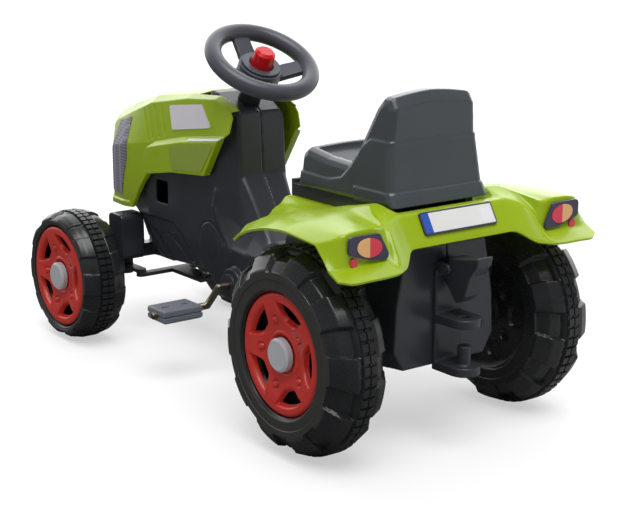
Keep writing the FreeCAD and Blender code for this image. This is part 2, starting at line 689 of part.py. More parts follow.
def steering_shaft():
    top = steer_point(-HUB_DROP)
    end = steer_end()
    tip = end.sub(STEER_FORE * DROP_ARM)
    pin_end = tip.sub(STEER_UP * DROP_PIN_L)
    shaft = rod(end, top, SHAFT_R).fuse([Part.makeSphere(SHAFT_R, end), rod(end, tip, SHAFT_R),
                                         Part.makeSphere(SHAFT_R, tip), rod(tip, pin_end, PIN_R)])
    put("steering_shaft", shaft)
    foot = steer_point(-HUB_DROP - STEER_HUB_H / 2 - FREE_GAP - COLLAR_H)
    collar = Part.makeCylinder(COLLAR_R, COLLAR_H, foot, STEER_UP)
    bore = Part.makeCylinder(SHAFT_R + RUN_GAP, COLLAR_H, foot, STEER_UP)
    put("column_collar", collar.cut([bore, body_outer()]))


DROP_PIN_L = 16.0


# Front axle: moulded beam with two kingpin towers and a keel, L shaped steel knuckles, flat link.
TOWER_ROUND = 9.0
TOWER_SHIFT = -6.0


def front_axle():
    rear = WHEELBASE + TOWER_SHIFT - TOWER_HALF_X
    front = WHEELBASE + TOWER_SHIFT + TOWER_HALF_X
    y_in, y_out = KINGPIN_Y - TOWER_HALF_Y, KINGPIN_Y + TOWER_HALF_Y
    outline = [(rear, BEAM_BOTTOM), (front, BEAM_BOTTOM), (front, TOWER_TOP), (rear, TOWER_TOP)]
    tower = side_prism(outline, y_in, y_out, TOWER_ROUND)
    reach = y_in + OVERRUN
    cross_beam = box(rear + TOWER_ROUND, front - TOWER_ROUND, -reach, reach, BEAM_BOTTOM, BEAM_TOP)
    saddle_top = TOWER_TOP + TOWER_ROUND
    saddle = box(rear, WHEELBASE - OVERRUN, -KEEL_HALF_W, KEEL_HALF_W, BEAM_BOTTOM, saddle_top)
    keel_rear = steer_end().x + DROP_ARM / 2
    keel_front = rear + TOWER_ROUND * 2
    keel_low = BEAM_BOTTOM + FREE_GAP * 2
    keel = box(keel_rear, keel_front, -KEEL_HALF_W, KEEL_HALF_W, keel_low, BEAM_TOP + OVERRUN)
    whole = tower.fuse([mirrored(tower), cross_beam, saddle, keel]).cut(body_outer())
    cuts = []
    for sign in (1, -1):
        pin = V(WHEELBASE, sign * KINGPIN_Y, BEAM_BOTTOM - OVERRUN)
        cuts.append(rod(pin, V(WHEELBASE, sign * KINGPIN_Y, KINGPIN_TOP + FREE_GAP), AXLE_R + RUN_GAP))
    put("front_axle_beam", whole.cut(cuts))


def knuckles():
    arm_z = LINK_Z + LINK_T + FREE_GAP
    pin_x = WHEELBASE - ARM_L
    low = FRONT_R - AXLE_R * 2
    kingpin = rod(V(WHEELBASE, KINGPIN_Y, FRONT_R), V(WHEELBASE, KINGPIN_Y, KINGPIN_TOP), AXLE_R)
    stub_end = FRONT_MID_Y + RIM_FACE_Y[1] - RIM_DISH
    stub = rod(V(WHEELBASE, KINGPIN_Y, FRONT_R), V(WHEELBASE, stub_end, FRONT_R), AXLE_R)
    collar_h = BEAM_BOTTOM - FREE_GAP - low
    collar = Part.makeCylinder(AXLE_R * 2, collar_h, V(WHEELBASE, KINGPIN_Y, low), UP)
    arm = box(pin_x, WHEELBASE, KINGPIN_Y - ARM_W / 2, KINGPIN_Y + ARM_W / 2, arm_z, arm_z + ARM_T)
    arm_end = Part.makeCylinder(ARM_W / 2, ARM_T, V(pin_x, KINGPIN_Y, arm_z), UP)
    pin = Part.makeCylinder(PIN_R, ARM_T + LINK_T + FREE_GAP * 2, V(pin_x, KINGPIN_Y, LINK_Z - FREE_GAP), UP)
    both_sides("knuckle", kingpin.fuse([stub, collar, arm, arm_end, pin]).removeSplitter())


def steering_link():
    pin_x = WHEELBASE - ARM_L
    tip = steer_end().sub(STEER_FORE * DROP_ARM)
    slope = STEER_UP.x / STEER_UP.z
    slot_x = tip.x + (LINK_Z + LINK_T / 2 - tip.z) * slope
    bar = box(pin_x - ARM_W / 2, pin_x + ARM_W / 2, -KINGPIN_Y, KINGPIN_Y, LINK_Z, LINK_Z + LINK_T)
    tongue = box(slot_x - ARM_W, pin_x, -ARM_W, ARM_W, LINK_Z, LINK_Z + LINK_T)
    spots = [V(pin_x, sign * KINGPIN_Y, LINK_Z) for sign in (1, -1)]
    ends = [Part.makeCylinder(ARM_W / 2, LINK_T, spot, UP) for spot in spots]
    holes = [Part.makeCylinder(PIN_R + RUN_GAP, LINK_T, spot, UP) for spot in spots]
    slot_y = PIN_R + FREE_GAP * 2
    slot = box(slot_x - ARM_W / 2, slot_x + ARM_W / 2, -slot_y, slot_y, LINK_Z, LINK_Z + LINK_T)
    put("steering_link", bar.fuse([tongue] + ends).cut(holes + [slot]).removeSplitter())


# Wheels: hollow moulded tyre with a black inner disc, red rim insert, grey hub cap.
# Tyre outlines have shares of the height of the tyre wall and of the half width.
TYRE_SHARES = ((0.0, .86), (.1, .955), (.47, 1.0), (.55, .97), (.83, .68), (.95, .36), (1.0, .23))
HOLLOW_SHARES = ((0.0, .76), (.1, .86), (.4, .89), (.62, .6), (.74, .3), (.78, .12))
POCKET_SHARES = ((.47, 1.1), (1.1, 1.1), (1.1, .3), (.95, .3), (.83, .32), (.7, .65), (.47, .93))
POCKET_TURN_SHARES = (-.22, .22, .32, -.12)
POCKET_IN_SHARE = 0.2
HUB_LENGTH_SHARE = 0.5
WINDOW_R_SHARES = (.48, .87)
WINDOW_IN_DEG = 13.0
WINDOW_OUT_DEG = 24.0
STUD_R_SHARE = .56
STUD_R = 6.0
RIM_LIP = 2.0
BOSS_R_SHARE = .36


def spin(points, mid_y, axle):
    """Turn a (radius, across) outline about the wheel axis."""
    face = Part.Face(loop([V(axle.x + r, mid_y + y, axle.z) for r, y in points]))
    return face.revolve(V(axle.x, mid_y, axle.z), LEFT, 360)


def tyre_points(radius, half_w, shares):
    seat_r = RIM_R + RIM_LIP
    return [(seat_r + (radius - seat_r) * a, half_w * b) for a, b in shares]


def tyre_outline(radius, half_w):
    """Tread and side walls open to the middle, closed by a disc on the inner side."""
    outer = tyre_points(radius, half_w, TYRE_SHARES)
    hollow = tyre_points(radius, half_w, HOLLOW_SHARES)
    disc_y = -outer[0][1]
    bore = AXLE_R + RUN_GAP
    end = half_w * HUB_LENGTH_SHARE
    mirror_outer = [(r, -w) for r, w in reversed(outer)]
    mirror_hollow = [(r, -w) for r, w in hollow]
    hub = [(bore, disc_y), (bore, end), (HUB_R, end), (HUB_R, disc_y + TYRE_WALL)]
    mirror_hollow[0] = (hollow[0][0], disc_y + TYRE_WALL)
    return outer + mirror_outer + hub + mirror_hollow + hollow[::-1]


def tyre(radius, half_w, mid_y, axle):
    """The hollow tyre with slanted pockets in both flanks of its tread."""
    ring = spin(tyre_points(radius, half_w, POCKET_SHARES), mid_y, axle)
    arc = 2 * pi * radius / LUG_COUNT
    start, end = half_w * POCKET_IN_SHARE, half_w + TYRE_WALL
    turns = [arc * t for t in POCKET_TURN_SHARES]
    points = [V(turns[0], start, 0), V(turns[1], start, 0), V(turns[2], end, 0), V(turns[3], end, 0)]
    wedge = Part.Face(loop(points)).extrude(V(0, 0, radius + TYRE_WALL))
    wedges = []
    for i in range(LUG_COUNT):
        turned = wedge.copy()
        turned.rotate(V(0, 0, 0), LEFT, 360 * i / LUG_COUNT)
        turned.translate(V(axle.x, mid_y, axle.z))
        wedges.append(turned)
    cutter = Part.makeCompound([ring.common(w) for w in wedges])
    inner = cutter.mirror(V(0, mid_y, 0), LEFT)
    inner.rotate(V(axle.x, mid_y, axle.z), LEFT, 180 / LUG_COUNT)
    return spin(tyre_outline(radius, half_w), mid_y, axle).cut([cutter, inner])


def rim_window(mid_y, axle, turn):
    r_in, r_out = RIM_R * WINDOW_R_SHARES[0], RIM_R * WINDOW_R_SHARES[1]
    a_in, a_out = radians(WINDOW_IN_DEG), radians(WINDOW_OUT_DEG)
    points = [(r_in * cos(-a_in), r_in * sin(-a_in)), (r_out * cos(-a_out), r_out * sin(-a_out)),
              (r_out / cos(a_out) * cos(0), 0), (r_out * cos(a_out), r_out * sin(a_out)),
              (r_in * cos(a_in), r_in * sin(a_in))]
    wire = rounded(points, CAP_H, lambda u, v: V(u, -RIM_R, v))
    cutter = Part.Face(wire).extrude(V(0, 2 * RIM_R, 0))
    cutter.rotate(V(0, 0, 0), LEFT, turn)
    cutter.translate(V(axle.x, mid_y, axle.z))
    return cutter


def rim(half_w, face_y, mid_y, axle, turn0):
    """Dished insert: flat flange, web with windows sloping in to a raised ring on the tyre hub."""
    end = half_w * HUB_LENGTH_SHARE
    boss_r = RIM_R * BOSS_R_SHARE
    flange_r = RIM_R * WINDOW_R_SHARES[1] + RIM_LIP
    sunk = face_y - RIM_LIP
    dish = face_y - RIM_DISH
    bore = AXLE_R + RUN_GAP
    outline = [(RIM_R, face_y), (flange_r, face_y), (flange_r - RIM_LIP, sunk), (boss_r + RIM_LIP, dish),
               (boss_r, dish + RIM_T), (bore, dish + RIM_T), (bore, end), (boss_r, end),
               (boss_r, dish - RIM_T), (flange_r, sunk - RIM_T), (RIM_R, sunk - RIM_T)]
    step = 360 / RIM_WINDOWS
    whole = spin(outline, mid_y, axle)
    studs = []
    for i in range(RIM_WINDOWS):
        a = radians(turn0 + step * (i + RIM_STUD_SHARE))
        r = RIM_R * STUD_R_SHARE
        web_y = sunk - (sunk - dish) * (flange_r - r) / (flange_r - boss_r)
        spot = V(axle.x + r * cos(a), mid_y + web_y - RIM_T / 2, axle.z - r * sin(a))
        ball = Part.makeSphere(STUD_R, spot)
        keep = rod(spot, V(spot.x, spot.y + STUD_R, spot.z), STUD_R)
        studs.append(ball.common(keep))
    holes = [rim_window(mid_y, axle, turn0 + step * i) for i in range(RIM_WINDOWS)]
    return whole.fuse(studs).cut(holes)


RIM_STUD_SHARE = 0.5
CAP_EDGE_SHARE = 0.3
WHEEL_TURN = 18.0
RIM_FACE_Y = (39.0, 35.0)


def hub_cap(face_y, mid_y, axle):
    base = V(axle.x, mid_y + face_y - RIM_DISH + RIM_T, axle.z)
    cap = Part.makeCylinder(CAP_R, CAP_H, base, LEFT)
    rim_edge = [e for e in cap.Edges if e.BoundBox.YMin > base.y + CAP_H / 2]
    return cap.makeChamfer(CAP_H * CAP_EDGE_SHARE, rim_edge)


def wheels():
    front_axle_spot = V(WHEELBASE, 0, FRONT_R)
    for name, radius, half_w, mid_y, axle, face_y in (
            ("rear", REAR_R, REAR_HALF_W, REAR_MID_Y, REAR_AXLE, RIM_FACE_Y[0]),
            ("front", FRONT_R, FRONT_HALF_W, FRONT_MID_Y, front_axle_spot, RIM_FACE_Y[1])):
        both_sides(name + "_tyre", tyre(radius, half_w, mid_y, axle))
        both_sides(name + "_rim", rim(half_w, face_y, mid_y, axle, WHEEL_TURN))
        both_sides(name + "_hub_cap", hub_cap(face_y, mid_y, axle))


# Drive: rear axle, two chain wheels, chain, bent crank and pedals.
def pitch_radius(teeth):
    return CHAIN_PITCH / 2 / sin(pi / teeth)


def chain_wheel(teeth, spot):
    tip = pitch_radius(teeth) + TOOTH_H / 2
    root = pitch_radius(teeth) - TOOTH_H / 2
    step = 2 * pi / teeth
    points = []
    for i in range(teeth):
        for turn, r in zip(TOOTH_TURN_SHARES, (root, tip, tip, root)):
            a = step * (i + turn)
            points.append((spot.x + r * cos(a), spot.z + r * sin(a)))
    half = CHAIN_W / 2 - CHAIN_PLATE_T - FREE_GAP
    disc = side_prism(points, CHAIN_Y - half, CHAIN_Y + half)
    return disc, half


TOOTH_TURN_SHARES = (-.42, -.14, .14, .42)


def keyed_wheel(name, teeth, spot, shaft_r):
    disc, half = chain_wheel(teeth, spot)
    hub_end = CHAIN_Y + CHAIN_W * 2
    hub = rod(V(spot.x, CHAIN_Y - half, spot.z), V(spot.x, hub_end, spot.z), shaft_r + CHAIN_W)
    put(name, disc.fuse(hub).cut(rod(V(spot.x, 0, spot.z), V(spot.x, hub_end, spot.z), shaft_r)))


def chain():
    """Side plates round both chain wheels, joined by pins on the two straight runs."""
    r1, r2 = pitch_radius(CHAINRING_TEETH), pitch_radius(SPROCKET_TEETH)
    c1, c2 = CRANK_AXIS, REAR_AXLE
    lean = atan2(c1.z - c2.z, c1.x - c2.x)
    dist = hypot(c1.x - c2.x, c1.z - c2.z)
    open_a = pi / 2 - atan2(r1 - r2, dist)
    plates = []
    half = CHAIN_PLATE_H / 2
    for side_y in (CHAIN_Y - CHAIN_W / 2, CHAIN_Y + CHAIN_W / 2 - CHAIN_PLATE_T):
        plate = []
        for grow in (half, -half):
            arcs = []
            for c, r, a0, a1 in ((c1, r1, open_a, -open_a), (c2, r2, -open_a, open_a - 2 * pi)):
                spots = [V(c.x + (r + grow) * cos(lean + a), side_y, c.z + (r + grow) * sin(lean + a))
                         for a in (a0, (a0 + a1) / 2, a1)]
                arcs.append(spots)
            edges = [Part.Arc(*arcs[0]).toShape(), Part.LineSegment(arcs[0][2], arcs[1][0]).toShape(),
                     Part.Arc(*arcs[1]).toShape(), Part.LineSegment(arcs[1][2], arcs[0][0]).toShape()]
            plate.append(Part.Face(Part.Wire(edges)).extrude(V(0, CHAIN_PLATE_T, 0)))
        plates.append(plate[0].cut(plate[1]))
    pins = []
    run = dist * sin(open_a)
    clear = (r1 + half) / run
    count = int(run * (1 - 2 * clear) / CHAIN_PITCH)
    for turn in (open_a, -open_a):
        ux, uz = cos(lean + turn), sin(lean + turn)
        a = V(c1.x + r1 * ux, CHAIN_Y - CHAIN_W / 2, c1.z + r1 * uz)
        b = V(c2.x + r2 * ux, CHAIN_Y - CHAIN_W / 2, c2.z + r2 * uz)
        along = b.sub(a)
        for i in range(count + 1):
            spot = a.add(along * (clear + (1 - 2 * clear) * i / count))
            pins.append(Part.makeCylinder(CHAIN_PIN_R, CHAIN_W, spot, LEFT))
    put("chain", plates[0].fuse([plates[1]] + pins))


def rear_axle():
    reach = REAR_MID_Y + RIM_FACE_Y[0] - RIM_DISH
    put("rear_axle", rod(V(0, -reach, REAR_R), V(0, reach, REAR_R), AXLE_R))
    bushes = []
    for sign in (1, -1):
        inner = V(0, sign * (BODY_HALF - WALL * 3), REAR_R)
        edge = V(0, sign * AXLE_BOSS_END, REAR_R)
        outer = V(0, sign * (AXLE_BOSS_END + BUSH_FLANGE_T), REAR_R)
        bushes.append(rod(inner, edge, BUSH_R).fuse(rod(edge, outer, BUSH_FLANGE_R))
                      .cut(rod(inner, outer, AXLE_R + RUN_GAP)))
    put("axle_bushes", Part.makeCompound(bushes))


def crank_swing(sign):
    a = radians(CRANK_ANGLE)
    return V(CRANK_X + sign * CRANK_ARM * cos(a), 0, CRANK_Z + sign * CRANK_ARM * sin(a))


def crank():
    pieces = []
    for sign in (1, -1):
        y_bend = sign * CRANK_BEND_Y
        y_end = sign * (PEDAL_INNER_Y + PEDAL_L + CRANK_R)
        swing = crank_swing(sign)
        elbow, knee = V(CRANK_X, y_bend, CRANK_Z), V(swing.x, y_bend, swing.z)
        pieces += [Part.makeSphere(CRANK_R, elbow), rod(elbow, knee, CRANK_R),
                   Part.makeSphere(CRANK_R, knee), rod(knee, V(swing.x, y_end, swing.z), CRANK_R)]
    main = rod(V(CRANK_X, -CRANK_BEND_Y, CRANK_Z), V(CRANK_X, CRANK_BEND_Y, CRANK_Z), CRANK_R)
    put("crank", main.fuse(pieces))
    face = BODY_HALF * BODY_SIDE_SHARE + BOSS_H
    bushes = []
    for sign in (1, -1):
        inner = V(CRANK_X, sign * (face - BOSS_H - WALL), CRANK_Z)
        edge = V(CRANK_X, sign * face, CRANK_Z)
        outer = V(CRANK_X, sign * (face + BUSH_FLANGE_T), CRANK_Z)
        bushes.append(rod(inner, edge, BUSH_R).fuse(rod(edge, outer, BUSH_FLANGE_R))
                      .cut(rod(inner, outer, CRANK_R + RUN_GAP)))
    put("crank_bushes", Part.makeCompound(bushes))


def pedal(sign):
    spot = crank_swing(sign)
    y0, y1 = PEDAL_INNER_Y, PEDAL_INNER_Y + PEDAL_L
    half_w, half_t = PEDAL_W / 2, PEDAL_T / 2
    block = box(spot.x - half_w, spot.x + half_w, y0, y1, spot.z - half_t, spot.z + half_t)
    cuts = [rod(V(spot.x, y0, spot.z), V(spot.x, y1, spot.z), CRANK_R + RUN_GAP)]
    step = PEDAL_L / PEDAL_RIBS
    for i in range(PEDAL_RIBS):
        y = y0 + step * (i + RIB_SHARES[0])
        for z0, z1 in ((half_t - RIB_H, half_t), (-half_t, RIB_H - half_t)):
            y_end = y + step * RIB_SHARES[1]
            cuts.append(box(spot.x - half_w, spot.x + half_w, y, y_end, spot.z + z0, spot.z + z1))
    for end in (1, -1):
        x = spot.x + end * half_w
        cuts.append(box(min(x, x - end * RIB_H * 2), max(x, x - end * RIB_H * 2), y0, y1,
                        spot.z - RIB_H, spot.z + RIB_H))
    return block.cut(cuts) if sign > 0 else mirrored(block.cut(cuts))


RIB_SHARES = (.3, .4)


# Tow hitch, its latch and pivot pin, and the body screws.
LATCH_SHARES = ((-.127, .575), (-.142, .65), (-.165, .652), (-.2, .66), (-.228, .672), (-.224, .64),
                (-.204, .6), (-.19, .53), (-.165, .5), (-.15, .53))
LATCH_PIVOT_SHARE = (-.142, .61)
EAR_ROUND = 8.0
BODY_SCREW_SHARES = ((.87, .6), (.72, .55), (.52, .44))


def hitch_pivot():
    x, z = side([LATCH_PIVOT_SHARE])[0]
    return V(x, 0, z)


def tow_hitch():
    pivot = hitch_pivot()
    rear = WHEELBASE * BODY_SHARES[-1][0]
    foot, head = LOWER_LUG_Z + OVERRUN, pivot.z - EAR_ROUND / 2
    plate = box(rear - HITCH_PLATE_T, rear, -HITCH_HALF_W, HITCH_HALF_W, foot, head)
    lugs = []
    for z0 in (UPPER_LUG_Z, LOWER_LUG_Z):
        lugs.append(box(HITCH_END_X + HITCH_HALF_W, rear, -HITCH_HALF_W, HITCH_HALF_W, z0, z0 + LUG_T))
        lugs.append(Part.makeCylinder(HITCH_HALF_W, LUG_T, V(HITCH_END_X + HITCH_HALF_W, 0, z0), UP))
    eye = V(HITCH_END_X + HITCH_HALF_W, 0, LOWER_LUG_Z + LUG_T)
    lugs.append(Part.makeCylinder(PEG_R, PEG_H, eye, UP))
    ear_y = LATCH_HALF_W + FREE_GAP
    for sign in (1, -1):
        y0, y1 = sorted((sign * ear_y, sign * (ear_y + LATCH_EAR_T)))
        lugs.append(box(pivot.x, rear, y0, y1, pivot.z - EAR_ROUND, pivot.z + EAR_ROUND))
        lugs.append(rod(V(pivot.x, y0, pivot.z), V(pivot.x, y1, pivot.z), EAR_ROUND))
    reach = ear_y + LATCH_EAR_T
    pin = rod(V(pivot.x, -reach, pivot.z), V(pivot.x, reach, pivot.z), LATCH_PIN_R)
    bore = Part.makeCylinder(HITCH_BORE_R, LUG_T, V(eye.x, 0, UPPER_LUG_Z), UP)
    put("tow_hitch", plate.fuse(lugs).cut([pin, bore]).removeSplitter())
    put("hitch_pin", pin)
    bore = rod(V(pivot.x, -reach, pivot.z), V(pivot.x, reach, pivot.z), LATCH_PIN_R + RUN_GAP)
    latch = side_prism(side(LATCH_SHARES), -LATCH_HALF_W, LATCH_HALF_W, PANEL_T).cut(bore)
    put("hitch_latch", latch)


def body_screws():
    skin = BODY_HALF * BODY_SIDE_SHARE
    heads = []
    for x, z in side(BODY_SCREW_SHARES):
        head = rod(V(x, skin, z), V(x, skin + SCREW_H, z), SCREW_R)
        rim_edge = [e for e in head.Edges if e.BoundBox.YMin > skin + SCREW_H / 2]
        heads.append(mirrored(head.makeFillet(SCREW_H / 2, rim_edge)))
    put("body_screws", Part.makeCompound(heads))


body_halves()
bonnet()
bonnet_panels()
deck()
number_plate()
tail_lamps()
seat()
seat_rails()
steering_wheel()
steering_shaft()
front_axle()
knuckles()
steering_link()
wheels()
keyed_wheel("chainring", CHAINRING_TEETH, CRANK_AXIS, CRANK_R)
keyed_wheel("sprocket", SPROCKET_TEETH, REAR_AXLE, AXLE_R)
chain()
rear_axle()
crank()
put("pedal_left", pedal(1))
put("pedal_right", pedal(-1))
tow_hitch()
body_screws()

os.makedirs("parts", exist_ok=True)
for node, shape in ALL.items():
    shape.exportStep("parts/%s.step" % node)
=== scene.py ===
import math

import bmesh
import bpy
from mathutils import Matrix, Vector


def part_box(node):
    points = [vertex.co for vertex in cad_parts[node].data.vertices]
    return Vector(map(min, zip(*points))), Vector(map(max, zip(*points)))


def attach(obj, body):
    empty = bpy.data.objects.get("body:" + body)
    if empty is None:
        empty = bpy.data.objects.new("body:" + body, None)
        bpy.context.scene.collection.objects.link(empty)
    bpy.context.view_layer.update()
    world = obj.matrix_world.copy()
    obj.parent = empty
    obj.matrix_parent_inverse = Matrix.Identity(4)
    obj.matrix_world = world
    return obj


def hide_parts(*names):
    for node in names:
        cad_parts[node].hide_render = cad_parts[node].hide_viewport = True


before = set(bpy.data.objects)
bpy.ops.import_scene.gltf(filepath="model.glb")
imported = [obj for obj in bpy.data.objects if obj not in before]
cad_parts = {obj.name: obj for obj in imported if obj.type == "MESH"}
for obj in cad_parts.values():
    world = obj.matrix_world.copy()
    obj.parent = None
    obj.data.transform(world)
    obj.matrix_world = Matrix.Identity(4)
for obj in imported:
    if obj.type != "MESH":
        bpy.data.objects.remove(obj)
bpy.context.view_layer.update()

# Lower body: two hollow half shells of black polyethylene, blow moulded and screwed together along
# the middle plane. They carry both axles, the crank and the steering column. Each flank has a sunk
# field with two slanted pockets, and a bead runs along the edge of the footwell.
MM = 0.001


def linear(code):
    """An sRGB colour such as 9CB926 as linear RGBA."""
    parts = [int(code[k:k + 2], 16) / 255 for k in (0, 2, 4)]
    return [c / 12.92 if c <= 0.04045 else ((c + 0.055) / 1.055) ** 2.4 for c in parts] + [1.0]


def node(tree, kind, values=None, links=None, **settings):
    """Adds one shader node with its settings, its socket values and its links."""
    new = tree.nodes.new(kind)
    for key, value in settings.items():
        setattr(new, key, value)
    for socket, value in (values or {}).items():
        new.inputs[socket].default_value = value
    for socket, source in (links or {}).items():
        tree.links.new(source, new.inputs[socket])
    return new


def finish(name, light, dark, rough, grain, relief, cloud=60.0, metal=0.0):
    """A moulded, printed or plated skin: a slow cloud between two tones, and a fine grain that
    breaks the sheen a little. Grain, relief and cloud are in mm."""
    made = bpy.data.materials.new(name)
    made.use_nodes = True
    tree = made.node_tree
    tree.nodes.clear()
    place = node(tree, "ShaderNodeTexCoord").outputs["Object"]
    slow = node(tree, "ShaderNodeTexNoise", {"Scale": 1 / (cloud * MM), "Detail": 3.0}, {"Vector": place})
    fine = node(tree, "ShaderNodeTexNoise", {"Scale": 1 / (grain * MM), "Detail": 2.0}, {"Vector": place})
    tone = node(tree, "ShaderNodeMix", {6: linear(dark), 7: linear(light)},
                {0: slow.outputs["Fac"]}, data_type="RGBA")
    sheen = node(tree, "ShaderNodeMapRange", {"To Min": rough - 0.06, "To Max": rough + 0.06},
                 {"Value": fine.outputs["Fac"]})
    skin = node(tree, "ShaderNodeBump", {"Distance": relief * MM}, {"Height": fine.outputs["Fac"]})
    face = node(tree, "ShaderNodeBsdfPrincipled", {"Metallic": metal},
                {"Base Color": tone.outputs[2], "Roughness": sheen.outputs[0], "Normal": skin.outputs[0]})
    node(tree, "ShaderNodeOutputMaterial", {}, {"Surface": face.outputs[0]})
    return made


def soften(names, material, grid, rounds):
    """Gives CAD nodes a material and the soft edges of a moulding; grid is the mesh size in mm."""
    for name in names:
        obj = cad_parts[name]
        obj.data.materials.clear()
        obj.data.materials.append(material)
        fresh = obj.modifiers.new("mould", "REMESH")
        fresh.mode = "VOXEL"
        fresh.voxel_size = grid * MM
        fresh.use_smooth_shade = True
        flow = obj.modifiers.new("flow", "SMOOTH")
        flow.factor = 0.5
        flow.iterations = rounds


def pressed(name, shift, material, body):
    """A softened CAD node as a mesh of its own, each of its points moved by shift, in mm."""
    bpy.context.view_layer.update()
    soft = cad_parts[name].evaluated_get(bpy.context.evaluated_depsgraph_get())
    mesh = bpy.data.meshes.new_from_object(soft)
    for point in mesh.vertices:
        point.co += Vector(shift(point.co / MM)) * MM
    mesh.materials.clear()
    mesh.materials.append(material)
    obj = bpy.data.objects.new(f"{name}_moulded", mesh)
    bpy.context.scene.collection.objects.link(obj)
    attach(obj, body)
    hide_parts(name)


def ease(low, high, value):
    """A smooth step from 0 at low to 1 at high."""
    t = min(1.0, max(0.0, (value - low) / (high - low)))
    return t * t * (3 - 2 * t)


def inside(outline, x, z):
    """How far a point lies inside an outline, corners counter-clockwise; less than zero outside."""
    least = math.inf
    for (ax, az), (bx, bz) in zip(outline, outline[1:] + outline[:1]):
        turn = (bx - ax) * (z - az) - (bz - az) * (x - ax)
        least = min(least, turn / math.hypot(bx - ax, bz - az))
    return least


def off_path(path, x, z):
    """How far a point lies from a path of straight pieces."""
    here = Vector((x, z))
    least = math.inf
    for start, end in zip(path, path[1:]):
        a, run = Vector(start), Vector(end) - Vector(start)
        share = min(1.0, max(0.0, (here - a).dot(run) / run.length_squared))
        least = min(least, (here - a - run * share).length)
    return least


def on_path(path, x):
    """The height at x of a path that runs forward, for an x between its ends."""
    for (ax, az), (bx, bz) in zip(path, path[1:]):
        if ax <= x <= bx:
            return az + (bz - az) * (x - ax) / (bx - ax)


# Places on the flank are in mm: along from the front axle, and up from the floor.
front_axle_x = sum(corner.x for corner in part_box("front_tyre_left")) / 2 / MM
pockets = (((-61.5, 178), (-86.5, 182), (-134.5, 145), (-115.5, 137)),
           ((-120.5, 179), (-147.5, 184), (-202.5, 146), (-181.5, 139)))
crease = ((-230.5, 130), (-216.5, 147), (-177.5, 178), (-139.5, 200), (-100.5, 201), (-10.5, 196))
footwell_edge = ((-264.5, 268), (-259.5, 247), (-266.5, 228), (-280.5, 205), (-306.5, 187), (-340.5, 184))
bead_high, bead_half = 2.0, 8.0
field_deep, field_edge, field_fade = 2.0, 3.0, 30.0
pocket_deep, pocket_edge = 4.4, 2.4
# The relief is only on the outer skin: this far out from the middle plane, and in these ranges.
flank_from, flank_low, flank_high = 53.0, 120.0, 205.0
footwell_from, footwell_low, footwell_high = 44.0, 175.0, 275.0
footwell_rear, footwell_front = -350.5, -250.5


def flank_relief(point):
    """The relief of a flank. The field below the crease is sunk and fades out at the front; a thin
    rim stays level with the flank round each pocket, and the pocket inside it is sunk again."""
    x, y, z = point.x - front_axle_x, point.y, point.z
    if footwell_rear < x < footwell_front and footwell_low < z < footwell_high and abs(y) > footwell_from:
        bead = bead_high * (1 - ease(0.0, bead_half, off_path(footwell_edge, x, z)))
        return 0.0, math.copysign(bead, y), 0.0
    if not (crease[0][0] < x < crease[-1][0] and flank_low < z < flank_high and abs(y) > flank_from):
        return 0.0, 0.0, 0.0
    field = field_deep * ease(0.0, field_edge, on_path(crease, x) - z)
    field *= 1 - ease(crease[-1][0] - field_fade, crease[-1][0], x)
    pocket = sum(pocket_deep * ease(0.0, pocket_edge, inside(outline, x, z)) for outline in pockets)
    return 0.0, math.copysign(abs(pocket - field), -y), 0.0


# Moulded polyethylene is waxy and satin: near black, with wide soft highlights along its edges.
black_body = finish("black_polyethylene_moulded", "383A40", "2E3035", rough=0.25, grain=0.9, relief=0.04)
soften(["body_left", "body_right"], black_body, grid=1.5, rounds=3)
for name in ("body_left", "body_right"):
    pressed(name, flank_relief, black_body, "chassis")

# Front axle: a black polyethylene beam across the body with a tower over each kingpin. Two steel
# knuckles turn in the towers, joined by a flat steel link; both are painted black.


def dress(names, material, edge):
    """Gives CAD nodes a material and a rounded edge of that many mm."""
    for name in names:
        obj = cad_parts[name]
        obj.data.materials.clear()
        obj.data.materials.append(material)
        obj.data.shade_smooth()
        obj.modifiers.new("weld", "WELD").merge_threshold = 0.02 * MM
        if edge:
            round_edge = obj.modifiers.new("edge", "BEVEL")
            round_edge.width = edge * MM
            round_edge.segments = 2
            round_edge.angle_limit = math.radians(32)
            round_edge.harden_normals = True
        flat = obj.modifiers.new("normals", "WEIGHTED_NORMAL")
        flat.keep_sharp = True


soften(["front_axle_beam"], black_body, grid=1.4, rounds=5)
# Sprayed paint: black and even, with a duller sheen than the plastic round it.
black_steel = finish("black_painted_steel", "2E2F32", "26272A", rough=0.35, grain=0.5, relief=0.02)
dress(["knuckle_left", "knuckle_right", "steering_link"], black_steel, edge=0.4)

# Steering column: a black plastic collar on the body's top guides a zinc-plated steel shaft, which
# ends inside the body in a drop arm that moves the link.
dress(["column_collar"], black_body, edge=1.2)
# Bright zinc: a pale, slightly warm metal with blurred reflections.
zinc = finish("zinc_plated_steel", "C8C8C4", "B6B6AF", rough=0.35, grain=0.5, relief=0.02, metal=1.0)
dress(["steering_shaft"], zinc, edge=0.4)

# Steering wheel: one dark grey polypropylene moulding with three spokes, pressed on the shaft. The
# red horn button slides in its hub, inside a grey ring.

# Moulded polypropylene: mid-grey and satin, a little greyer where the light grazes it.
grey_wheel = finish("grey_polypropylene_moulded", "50535C", "464951", rough=0.34, grain=0.8, relief=0.03)
soften(["steering_wheel"], grey_wheel, grid=0.7, rounds=3)
dress(["horn_bezel"], grey_wheel, edge=1.0)
# The same plastic from a polished mould: clear red with a small bright highlight.
red_button = finish("red_polypropylene_moulded", "E00C18", "CC0812", rough=0.24, grain=0.8, relief=0.02)
dress(["horn_button"], red_button, edge=1.5)

# Drive: a zinc-plated steel rear axle, turned by a chain inside the body between a chainring on the
# crank and a sprocket on the axle. Axle and crank turn in black polyethylene bushes.
dress(["rear_axle", "sprocket", "chainring", "chain"], zinc, edge=0.4)
dress(["axle_bushes", "crank_bushes"], black_body, edge=0.8)

